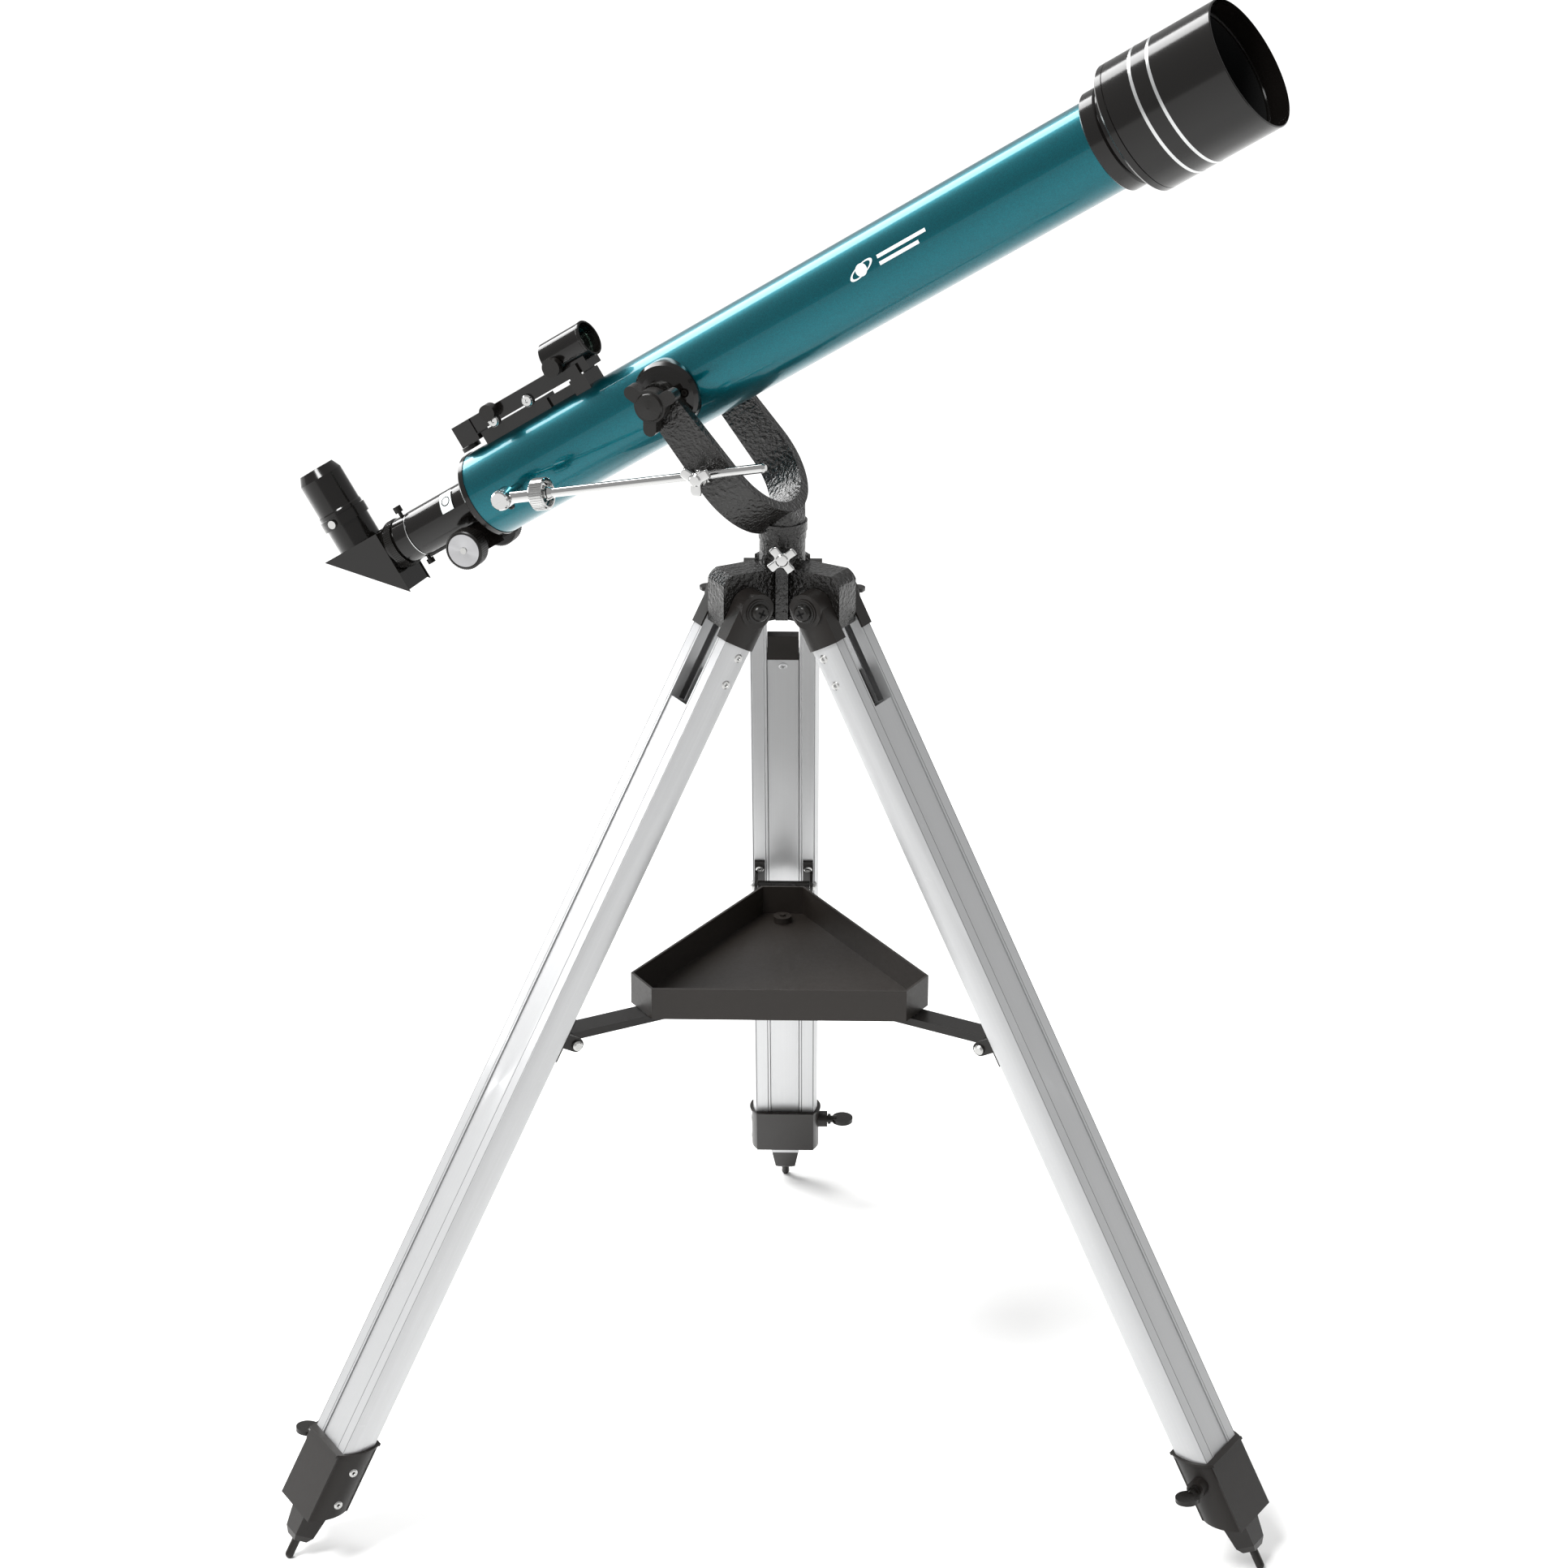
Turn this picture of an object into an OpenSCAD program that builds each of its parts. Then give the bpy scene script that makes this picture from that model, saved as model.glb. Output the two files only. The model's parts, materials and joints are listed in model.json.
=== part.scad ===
// Small refracting telescope on a folding aluminium tripod, millimetres, +Z up.
// The origin is on the floor, on the azimuth axis. The front of the tripod faces -Y.

/* [Tripod] */
// Radius of the circle that the foot tips stand on
foot_radius = 419; // [340:1:500]
// Height of the leg hinges above the floor
hinge_height = 692.6; // [560:0.1:840]
// Distance of the leg hinges from the azimuth axis
hinge_radius = 36; // [34:0.5:44]
// Width of one aluminium rail
rail_w = 15; // [13:0.5:18]
// Gap between the two rails of a leg
rail_gap = 24.8; // [20:0.2:30]
// Depth of the rails, from the inner face to the outer face
leg_depth = 22; // [18:0.5:27]
// How far the outer face of a rail bulges
rail_bulge = 2.9; // [2:0.1:4]
// Wall of the rail section
rail_wall = 1.4; // [1:0.1:1.8]
// Distance along the leg from the hinge to the top of the rails
rail_top = 13; // [10:0.5:16]
// Distance along the leg from the hinge to the lower edge of the top caps
cap_length = 29; // [24:0.5:36]
// Wall of the plastic caps and foot brackets
shell_wall = 1.5; // [1.2:0.1:2.2]
// Radius of the hinge bolts
hinge_bolt_r = 3; // [2.5:0.1:3.6]

/* [Inner legs and feet] */
// Distance along the leg from the hinge to the top of the inner leg
inner_top = 84; // [75:1:130]
// Length of the end plug above the inner leg
plug_length = 27; // [20:1:32]
// Height of the foot bracket
bracket_height = 54; // [46:1:70]
// Distance along the leg from the floor up to the foot bracket's lower edge
bracket_lift = 48; // [40:1:60]
// Length of the foot wedge below the inner leg
wedge_length = 34; // [28:1:40]
// Radius of the round foot tip
tip_r = 3.2; // [2.5:0.1:4]
// Radius of the leg lock screws
lock_screw_r = 3; // [2.5:0.1:3.5]

/* [Tray] */
// Height of the tray's rim above the floor
tray_rim = 407; // [380:1:440]
// Height of the tray's wall
tray_height = 24.6; // [18:0.2:32]
// Distance from the axis to the three long sides
tray_long_r = 73.6; // [66:0.2:84]
// Distance from the axis to the three short sides
tray_short_r = 118.4; // [108:0.2:126]
// Wall of the tray
tray_wall = 1.8; // [1.4:0.1:2.6]
// Distance from the axis to the tray's knobs
tray_knob_r = 101.6; // [90:0.2:106]
// Width of the brace arms
arm_w = 19; // [14:0.5:20]

/* [Head and yoke] */
// Radius of the column
column_r = 16.8; // [15.6:0.1:19]
// Height of the joint between the column and the yoke above the leg hinges
column_rise = 42.4; // [33:0.2:67]
// Radius of the azimuth spindle
spindle_r = 8; // [6:0.5:9]
// Height of the altitude axis above the leg hinges
pivot_rise = 150; // [132:0.5:207]
// Distance of the altitude axis behind the azimuth axis
pivot_back = 76; // [60:0.5:90]
// Distance from the middle to the inner face of a yoke arm
yoke_inner = 42; // [41:0.5:50]
// Thickness of the yoke's arms
yoke_thick = 8; // [6:0.5:11]
// Width of the arms at the altitude axis
yoke_top_w = 26; // [22:0.5:30]
// Width of the yoke at its bend
yoke_low_w = 31; // [26:0.5:36]
// Direction of the tube in plan, anticlockwise from +X
tube_azimuth = -20.9; // [-60:0.1:60]
// Altitude of the tube
tube_altitude = 33.3; // [20:0.1:45]

/* [Optical tube] */
// Outer radius of the main tube
tube_r = 33; // [30:0.5:34]
// Wall of the main tube
tube_wall = 1.2; // [0.8:0.1:1.8]
// Distance from the altitude axis to the front of the main tube
tube_front = 375; // [320:1:450]
// Distance from the altitude axis to the rear of the main tube
tube_rear = 187; // [172:1:220]
// Outer radius of the lens cell's flange
cell_flange_r = 37.2; // [36:0.2:39]
// Outer radius of the dew shield
dew_r = 47.9; // [45:0.1:54]
// Length of the dew shield
dew_length = 94; // [70:1:120]
// Wall of the dew shield
dew_wall = 2.4; // [2:0.1:3.4]
// Clear radius of the objective lens
lens_r = 30; // [26:0.5:31]

/* [Focuser and eyepiece] */
// Outer radius of the focuser's neck
neck_r = 18.2; // [17.6:0.1:20]
// Length of the focuser's neck behind the main tube
neck_length = 72; // [60:1:84]
// Outer radius of the drawtube
draw_r = 15.6; // [15.2:0.1:16]
// Radius of the focus knobs
focus_knob_r = 15.2; // [12:0.2:17]
// Half of the width of the diagonal's housing
diagonal_half_w = 17.5; // [17:0.1:19]
// Radius of the eyepiece's body
eyepiece_r = 17.2; // [16.8:0.1:20]
// Length of the eyepiece above its holder
eyepiece_length = 38; // [30:1:50]

/* [Finder] */
// Distance behind the altitude axis of the finder's rear end
finder_rear = -184; // [-186:1:-176]
// Outer radius of the sight tube
sight_r = 13.4; // [11:0.2:14.5]
// Length of the sight tube
sight_length = 38; // [30:1:46]

/* [Slow motion rod] */
// Radius of the rod
rod_r = 3.5; // [3:0.1:4]
// Length of the rod from its hinge
rod_length = 211; // [195:1:225]
// Radius of the knurled wheel
wheel_r = 12; // [10:0.2:13]

/* [Hidden] */

$fn = 64;
run_fit = 0.05;       // radial clearance of a running fit
gap = 0.3;            // space between bodies that only touch
barrel_r = 15.87;     // the standard 31.75 mm eyepiece barrel

// Leg geometry
rear = 0;
left = 1;
right = 2;
leg_angle = [90, 210, 330];
nut_side = [1, -1, 1];
leg_tilt = atan2(foot_radius - hinge_radius, hinge_height);
leg_len = norm([foot_radius - hinge_radius, hinge_height]);
half_gap = rail_gap / 2;
half_w = half_gap + rail_w;
half_d = leg_depth / 2;
bulge_r = (half_d * half_d + rail_bulge * rail_bulge) / (2 * rail_bulge);
cap_out = half_w + shell_wall;
ear_r = 13;
bracket_low = leg_len - bracket_lift;
bracket_mid = bracket_low - bracket_height / 2;
rail_end = bracket_low - 8;
inner_end = leg_len - wedge_length - 17 + 5;
tongue_half = 2.6;
tongue_reach = half_gap + 4;
lock_s = bracket_low - 36;
boss_out = half_w + 9;
rivet_r = 3.3;
rivet_s = [36.8, 58];
rivet_sink = 0.5;
bracket_rivet_s = [bracket_low - 39, bracket_low - 12];
inner_half = half_gap - 2 * gap;
inner_d = half_d - 1;
plug_thick = 5;
brace_x = -22.5;
brace_drop = 28.1;
brace_s = (hinge_height + brace_x * sin(leg_tilt) - tray_rim + brace_drop) / cos(leg_tilt);
column_top = hinge_height + column_rise;
pivot_height = hinge_height + pivot_rise;
brace_pin_r = 2;
ear_y = 19.2;

// Head and tray geometry
lug_half = half_gap - 0.5;
head_low = hinge_height - 15.6;
lug_r = hinge_radius + 19;
lug_top = hinge_height + 24;
lug_curve = 12;
lock_z = column_top - 8;
tray_floor = tray_rim - tray_height;
brace_r = hinge_radius + brace_s * sin(leg_tilt) + brace_x * cos(leg_tilt);
brace_z = hinge_height - brace_s * cos(leg_tilt) + brace_x * sin(leg_tilt);
arm_thick = 2;
arm_top = tray_floor - gap;

// Yoke geometry
collar_r = column_r + 1.4;
collar_top = column_top + 17;
yoke_outer = yoke_inner + yoke_thick;
yoke_mid = yoke_inner + yoke_thick / 2;
yoke_drop = atan2(pivot_height - collar_top, pivot_back);
yoke_reach = norm([pivot_back, pivot_height - collar_top]);
bend_at = yoke_reach - yoke_mid;
stud_r = 4;
disc_r = 25;
disc_out = yoke_inner - gap;

// Optical tube geometry, along the tube from the altitude axis
cell_step = tube_front + 13;
dew_rear = tube_front + 20;
dew_front = dew_rear + dew_length;
cell_r = dew_r - 8;
cap_seat_r = dew_r - dew_wall + 1.4;
cap_seat_depth = 16;
cell_front = dew_rear + 24;
lens_at = dew_rear + 6;
neck_end = -tube_rear - neck_length;
draw_start = -tube_rear + 30;
collar_end = neck_end - 22;
pinion_at = neck_end + 46;
pinion_u = -26;
pinion_r = 6;
rack_u = pinion_u + pinion_r + 0.4;
shaft_r = 2.5;
diagonal_at = collar_end - 3;
prism_size = 48;
prism_top = 15.5;
prism_wall = 2;
eyepiece_at = diagonal_at - 26;
holder_top = prism_top + 27;
eyepiece_top = holder_top + eyepiece_length;

// Finder geometry
finder_base_top = tube_r + 9.4;
finder_low = finder_base_top + 1.2;
finder_front = finder_rear + 128;
sight_u = finder_low + 19;
sight_front = finder_rear + 135;
finder_ear_y = 10.3;
finder_pin_u = finder_low + 4;
finder_boss_y = 14;

// Slow motion rod geometry, in the plane beside the front yoke arm
post_s = -147;
post_u = -6;
rod_y = -(yoke_outer + 6.6);
clamp_q = 60.9;
post_e = -pivot_back + post_s * cos(tube_altitude) - post_u * sin(tube_altitude);
post_z = pivot_height + post_s * sin(tube_altitude) + post_u * cos(tube_altitude);
clamp_e = -pivot_back + clamp_q * cos(yoke_drop + 3);
clamp_z = pivot_height - clamp_q * sin(yoke_drop + 3);
rod_angle = atan2(clamp_z - post_z, clamp_e - post_e);
clamp_at = norm([clamp_e - post_e, clamp_z - post_z]);
wheel_at = 31;
wheel_w = 11;

// Places the children in the frame of one leg: X outwards, Y along the hinge, -Z to the foot.
module on_leg(i) {
    rotate([0, 0, leg_angle[i]]) translate([hinge_radius, 0, hinge_height])
        rotate([0, -leg_tilt, 0]) children();
}

// Places the children at the altitude axis, X in the tube's heading, Y to the left.
module on_yoke() {
    rotate([0, 0, tube_azimuth]) translate([-pivot_back, 0, pivot_height]) children();
}

// Places the children on the tube: X along the tube, Y to its left, Z up from it.
module on_tube() {
    on_yoke() rotate([0, -tube_altitude, 0]) children();
}

// A cylinder along X from a to b.
module x_rod(a, b, r) {
    translate([a, 0, 0]) rotate([0, 90, 0]) cylinder(h = b - a, r = r);
}

// A cylinder along Y from a to b.
module y_rod(a, b, r) {
    translate([0, a, 0]) rotate([-90, 0, 0]) cylinder(h = b - a, r = r);
}

// A turned piece along X: points are [radius, distance along X].
module x_turned(points) {
    rotate([0, 90, 0]) rotate_extrude() polygon(points);
}

// A turned piece along Y: points are [radius, distance along Y].
module y_turned(points) {
    rotate([-90, 0, 0]) rotate_extrude() polygon(points);
}

// Flat shape of a hand knob: a hub with evenly spaced round lobes.
module lobes(count, hub, reach, lobe) {
    circle(r = hub);
    for (k = [0 : count - 1]) rotate(360 * k / count) {
        translate([0, -lobe]) square([reach - lobe, 2 * lobe]);
        translate([reach - lobe, 0]) circle(r = lobe);
    }
}

// One rail's outline, grown by `grow` on its outer faces, in the leg's X and Y.
module rail_outline(grow = 0) {
    intersection() {
        translate([-half_d - grow, half_gap]) square([leg_depth + 2 * grow, rail_w + grow]);
        translate([0, half_w - bulge_r]) circle(r = bulge_r + grow);
    }
}

// The rail's hollow section, open towards the inner leg.
module rail_section() {
    difference() {
        rail_outline();
        translate([-half_d + rail_wall, half_gap + rail_wall])
            square([leg_depth - 2 * rail_wall, rail_w - rail_bulge - 2 * rail_wall]);
        translate([-tongue_half - gap, half_gap - 1])
            square([2 * (tongue_half + gap), rail_wall + 2]);
    }
}

// Extrudes a flat shape along the leg from distance a to distance b.
module along_leg(a, b) {
    translate([0, 0, -b]) linear_extrude(height = b - a) children();
}

module both_sides() {
    children();
    mirror([0, 1, 0]) children();
}

module head_lug() difference() {
    translate([column_r - 6, -lug_half, head_low])
        cube([lug_r - column_r + 6, 2 * lug_half, lug_top - head_low]);
    translate([lug_r - lug_curve, 0, lug_top - lug_curve]) difference() {
        translate([0, -20, 0]) cube([lug_curve + 5, 40, lug_curve + 5]);
        y_rod(-21, 21, lug_curve + 1);
    }
}

module head_casting() color("#1b1a19") difference() {
    union() {
        translate([0, 0, head_low]) cylinder(h = column_top - head_low, r = column_r);
        for (a = leg_angle) rotate([0, 0, a]) head_lug();
        for (a = leg_angle) rotate([0, 0, a + 180]) translate([column_r - 3, -4.5, head_low + 1])
            cube([7, 9, lug_top - head_low + 2]);
    }
    translate([0, 0, head_low + 12]) cylinder(h = column_top - head_low, r = spindle_r + run_fit);
    rotate([0, 0, 15]) translate([0, 0, head_low - 1]) cylinder(h = 10, r = 9);
    for (a = leg_angle) rotate([0, 0, a]) translate([hinge_radius, 0, hinge_height])
        y_rod(-lug_half - 1, lug_half + 1, hinge_bolt_r + run_fit);
    translate([0, 0, lock_z]) rotate([0, 0, -90]) x_rod(spindle_r - 1, column_r + 6, 3 + run_fit);
}

module azimuth_lock_knob() color("#d8d8d6") translate([0, 0, lock_z]) rotate([0, 0, -90]) {
    x_rod(spindle_r + gap, column_r + 8, 3);
    x_rod(column_r + 1, column_r + 9, 5.5);
    translate([column_r + 8, 0, 0]) rotate([0, 90, 0]) rotate([0, 0, 30])
        linear_extrude(height = 5) lobes(4, 6.5, 11, 2.8);
    x_rod(column_r + 12.5, column_r + 14.5, 4.5);
}

module leg_cap() difference() {
    union() {
        along_leg(0, cap_length) rail_outline(shell_wall);
        intersection() {
            y_rod(half_gap, cap_out, ear_r);
            translate([0, 0, -20]) linear_extrude(height = 40) rail_outline(shell_wall + 2);
        }
        y_rod(cap_out - 3, cap_out + 1, 9.5);
    }
    along_leg(rail_top, cap_length + 1) rail_outline();
    y_rod(half_gap - 1, cap_out + 3, hinge_bolt_r);
}

module leg_caps(i) color("#1d1c1b") on_leg(i) both_sides() leg_cap();

module leg_rails(i) color("#c9cac8") on_leg(i) difference() {
    both_sides() along_leg(rail_top, rail_end) rail_section();
    both_sides() for (z = rivet_s) translate([-2.8, 0, -z])
        y_rod(half_w - rivet_sink, half_w + 5, rivet_r);
    translate([0, 0, -lock_s]) y_rod(-half_w - 1, -half_gap + 1, lock_screw_r + gap);
}

module rivet(y) {
    y_turned([[0.9, y], [rivet_r, y], [rivet_r, y + 0.5], [2.4, y + 1.1], [1.3, y + 1.1],
              [0.9, y + 0.5]]);
}

module leg_fasteners(i) color("#b9b9b7") on_leg(i) {
    s = nut_side[i];
    // hinge bolt, its head and its washer
    scale([1, s, 1]) y_rod(-cap_out - 2, cap_out + 9, hinge_bolt_r);
    scale([1, -s, 1]) y_turned([[0, cap_out + 1], [6, cap_out + 1], [6, cap_out + 2.4],
                                [4.6, cap_out + 4.4], [0, cap_out + 4.4]]);
    // rivets of the rails, the bracket and the brace hinge
    both_sides() for (z = rivet_s) translate([-2.8, 0, -z]) rivet(half_w - rivet_sink);
    for (z = bracket_rivet_s) translate([-1.5, 0, -z]) rivet(half_w + shell_wall - rivet_sink);
    both_sides() translate([-half_d - 2, ear_y, -brace_s + 9]) rotate([0, 0, 90]) rivet(0);
    // pin of the brace hinge
    translate([brace_x, 0, -brace_s]) {
        y_rod(-25, 25, brace_pin_r);
        both_sides() y_turned([[0, 23.6], [3.8, 23.6], [3.8, 25], [2.6, 26.2], [0, 26.2]]);
    }
}

module wing_nut(i) color("#1d1c1b") on_leg(i) scale([1, nut_side[i], 1]) difference() {
    union() {
        y_rod(cap_out + 1 + gap, cap_out + 8, 5.5);
        translate([0, cap_out + 6, 0]) rotate([0, 35, 0]) intersection() {
            translate([0, 0, -1.5]) linear_extrude(height = 3) {
                for (x = [-1, 1]) translate([7 * x, 3]) circle(r = 4.4);
                translate([-7, -3]) square([14, 6]);
            }
            y_rod(-6, 12, 11);
        }
    }
    y_rod(cap_out, cap_out + 20, hinge_bolt_r + run_fit);
}

// Outline of the foot bracket: flat faces with rounded sides.
module bracket_outline(grow = 0) {
    outer_d = half_d + shell_wall + 1.5 + grow;
    side_r = 20;
    flat_half = half_w - 3;
    square([2 * outer_d, 2 * flat_half], center = true);
    for (s = [-1, 1]) intersection() {
        translate([0, s * (half_w + shell_wall + grow - side_r)]) circle(r = side_r);
        square([2 * outer_d, 2 * (half_w + shell_wall + grow + 1)], center = true);
    }
}

// A level slab that crosses the leg between the distances a and b.
module level_slab(a, b) {
    translate([0, 0, -b]) rotate([0, leg_tilt, 0]) translate([-60, -60, 0])
        cube([120, 120, (b - a) * cos(leg_tilt)]);
}

module foot_bracket(i) color("#2a2725") on_leg(i) difference() {
    union() {
        intersection() {
            along_leg(bracket_low - bracket_height - 30, bracket_low + 20) bracket_outline();
            level_slab(bracket_low - bracket_height, bracket_low);
        }
        intersection() {
            along_leg(bracket_low - bracket_height - 30, bracket_low + 20) bracket_outline(1.6);
            level_slab(bracket_low - bracket_height - 2, bracket_low - bracket_height);
        }
        translate([0, 0, -lock_s]) y_rod(-boss_out, -half_w, 7);
    }
    along_leg(bracket_low - bracket_height - 40, rail_end) {
        square([leg_depth, rail_gap + 2 * rail_wall], center = true);
        both_sides() rail_outline();
    }
    along_leg(rail_end - 1, bracket_low + 30) {
        square([2 * (inner_d + gap), 2 * (inner_half + gap)], center = true);
        square([2 * (tongue_half + gap), 2 * (tongue_reach + gap)], center = true);
    }
    for (z = bracket_rivet_s) translate([-1.5, 0, -z])
        y_rod(half_w + shell_wall - rivet_sink, half_w + 9, rivet_r);
    translate([0, 0, -lock_s]) y_rod(-boss_out - 1, -half_gap, lock_screw_r + run_fit);
}

module lock_screw(i) color("#1f1d1b") on_leg(i) translate([0, 0, -lock_s]) {
    y_rod(-boss_out - 8, -tongue_reach - gap, lock_screw_r);
    y_rod(-boss_out - 3, -boss_out - gap, 4.5);
    translate([0, -boss_out - 13, 0]) rotate([0, 25, 0]) translate([0, 0, -1.7])
        cylinder(h = 3.4, r = 9);
}

module inner_leg(i) color("#c4c5c4") on_leg(i) {
    along_leg(inner_top, inner_end) difference() {
        union() {
            square([2 * inner_d, 2 * inner_half], center = true);
            square([2 * tongue_half, 2 * tongue_reach], center = true);
        }
        square([2 * (inner_d - rail_wall), 2 * (inner_half - rail_wall)], center = true);
    }
    translate([-inner_d, 0, -inner_top - 7]) rotate([0, 0, 90]) rivet(0);
}

module inner_ends(i) color("#33302d") on_leg(i) {
    // end plug
    along_leg(inner_top - plug_length, inner_top)
        translate([-inner_d, -inner_half]) square([plug_thick, 2 * inner_half]);
    along_leg(inner_top, inner_top + 10)
        translate([-inner_d + rail_wall, -inner_half + rail_wall])
            square([plug_thick - rail_wall, 2 * (inner_half - rail_wall)]);
    // foot: a plug, a wedge, a rib and a round tip
    along_leg(inner_end - 12, inner_end)
        square([2 * (inner_d - rail_wall), 2 * (inner_half - rail_wall)], center = true);
    wedge_end = leg_len - 17;
    hull() {
        along_leg(inner_end, inner_end + 1) square([2 * inner_d, 2 * inner_half - 1], center = true);
        along_leg(wedge_end - 6, wedge_end - 5) square([2 * inner_d - 4, 17], center = true);
        along_leg(wedge_end - 1, wedge_end) square([2 * inner_d - 9, 12], center = true);
    }
    translate([0, 0, -leg_len + tip_r]) {
        cylinder(h = 20, r = tip_r);
        sphere(r = tip_r);
    }
}

module brace_hinge(i) color("#191817") on_leg(i) both_sides() difference() {
    union() {
        translate([-half_d - 2, ear_y - 4, -brace_s - 17]) cube([2, 8, 35]);
        translate([brace_x, ear_y + 1.6, -brace_s - 5.5]) cube([-half_d - brace_x, 2.4, 11]);
        translate([brace_x, 0, -brace_s]) y_rod(ear_y + 1.6, ear_y + 4, 5.5);
    }
    translate([brace_x, 0, -brace_s]) y_rod(0, 30, brace_pin_r);
}

module brace_arm(i) color("#211f1d") rotate([0, 0, leg_angle[i]]) {
    arm_in = tray_knob_r - 14;
    arm_out = brace_r - 3;
    translate([arm_in, -arm_w / 2, arm_top - arm_thick])
        cube([arm_out - arm_in, arm_w, arm_thick]);
    for (s = [-1, 1]) translate([arm_in, s * (arm_w / 2 - 0.8) - 0.8, arm_top - 6])
        cube([arm_out - arm_in, 1.6, 5]);
    translate([brace_r, 0, brace_z]) difference() {
        y_rod(-ear_y - 1.3, ear_y + 1.3, 3.8);
        y_rod(-ear_y - 2, ear_y + 2, brace_pin_r + run_fit);
    }
    for (dx = [-7, 7]) translate([tray_knob_r + dx, 0, arm_top - arm_thick - 4.5])
        cylinder(h = 4.6, r = 3.6);
}

// Flat outline of the tray, drawn in by `inset`.
module tray_outline(inset) {
    long_r = tray_long_r - inset;
    short_r = tray_short_r - inset;
    corner = (long_r - short_r / 2) / cos(30);
    polygon([for (a = leg_angle) for (s = [-1, 1])
        [short_r * cos(a) - s * corner * sin(a), short_r * sin(a) + s * corner * cos(a)]]);
}

module tray() color("#2b2826") difference() {
    translate([0, 0, tray_floor]) linear_extrude(height = tray_height) tray_outline(0);
    translate([0, 0, tray_floor + 2]) linear_extrude(height = tray_height) tray_outline(tray_wall);
    for (a = leg_angle) rotate([0, 0, a]) translate([tray_knob_r, 0, tray_floor - 1])
        cylinder(h = 5, r = 2.5);
}

module tray_knobs() color("#1c1b1a") for (a = leg_angle) rotate([0, 0, a])
    translate([tray_knob_r, 0, tray_floor]) {
        translate([0, 0, 2]) cylinder(h = 5, r = 7);
        cylinder(h = 8.5, r = 2.5);
    }

module yoke_arm() {
    translate([0, -yoke_outer, 0]) rotate([-90, 0, 0]) linear_extrude(height = yoke_thick) {
        circle(d = yoke_top_w);
        polygon([[0, -yoke_top_w / 2], [bend_at, -yoke_low_w / 2],
                 [bend_at, yoke_low_w / 2], [0, yoke_top_w / 2]]);
    }
}

module yoke() color("#1e1d1c") {
    difference() {
        union() {
            on_yoke() rotate([0, yoke_drop, 0]) {
                both_sides() yoke_arm();
                translate([bend_at, 0, -yoke_low_w / 2]) rotate([0, 0, -90])
                    rotate_extrude(angle = 180) translate([yoke_inner, 0])
                        square([yoke_thick, yoke_low_w]);
            }
            hull() {
                translate([0, 0, column_top + 8]) cylinder(h = 5, r = collar_r - 1.5, $fn = 32);
                on_yoke() rotate([0, yoke_drop, 0])
                    translate([yoke_reach - 3, -15, -yoke_low_w / 2 + 1])
                        cube([4, 30, yoke_low_w - 2]);
            }
            translate([0, 0, column_top + gap]) cylinder(h = 7, r = column_r + 0.6);
            translate([0, 0, column_top + 6.5]) cylinder(h = 7, r = collar_r);
            translate([0, 0, head_low + 16]) cylinder(h = column_top - head_low, r = spindle_r);
        }
        on_yoke() y_rod(-yoke_outer - 1, yoke_outer + 1, stud_r + run_fit);
    }
}

module pivot_disc() difference() {
    y_turned([[0, 10], [disc_r, 10], [disc_r, disc_out - 7], [disc_r - 2, disc_out - 3.5],
              [disc_r - 7, disc_out - 1.2], [13, disc_out], [0, disc_out]]);
    x_rod(-40, 40, tube_r);
    y_rod(10, 60, stud_r + run_fit);
    for (s = [-1, 1]) rotate([0, 15, 0]) translate([17 * s, 0, 0]) y_rod(disc_out - 3.4, 60, 3.4);
}

module pivot_discs() color("#151515") on_tube() both_sides() {
    pivot_disc();
    for (s = [-1, 1]) rotate([0, 15, 0]) translate([17 * s, 0, 0])
        y_rod(disc_out - 3.4, disc_out - 1.6, 2.8);
}

module altitude_knob() {
    y_rod(yoke_inner - 6, yoke_outer + 4, stud_r);
    y_rod(yoke_outer + gap, yoke_outer + 6, 10);
    translate([0, yoke_outer + 5, 0]) rotate([-90, 90, 0]) linear_extrude(height = 10)
        lobes(3, 12, 22, 5);
    y_turned([[0, yoke_outer + 14], [11, yoke_outer + 14], [9.5, yoke_outer + 17],
              [0, yoke_outer + 18]]);
}

module altitude_knob_left() color("#222120") on_yoke() altitude_knob();

module altitude_knob_right() color("#222120") on_yoke() mirror([0, 1, 0]) altitude_knob();

module main_tube() color("#006b77") on_tube() difference() {
    x_rod(-tube_rear, tube_front, tube_r);
    x_rod(-tube_rear - 1, tube_front + 1, tube_r - tube_wall);
}

module lens_cell() color("#141312") on_tube() x_turned([
    [lens_r - 1, tube_front - 8], [tube_r - tube_wall, tube_front - 8],
    [tube_r - tube_wall, tube_front], [cell_flange_r - 1, tube_front],
    [cell_flange_r, tube_front + 1], [cell_flange_r, cell_step - 1.5],
    [cell_flange_r - 1, cell_step], [cell_r - 4, cell_step], [cell_r - 4, dew_rear - 1],
    [cell_r, dew_rear - 1], [cell_r, cell_front], [lens_r + 1, cell_front],
    [lens_r + 1, lens_at], [lens_r - 1, lens_at]]);

module objective_lens() color("#a9c3cc", 0.4) on_tube() x_turned([
    [0, lens_at + 1], [12, lens_at + 0.8], [lens_r, lens_at], [lens_r + 1, lens_at],
    [lens_r + 1, lens_at + 7], [lens_r, lens_at + 7], [20, lens_at + 9.2], [10, lens_at + 10.2],
    [0, lens_at + 10.6]]);

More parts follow.
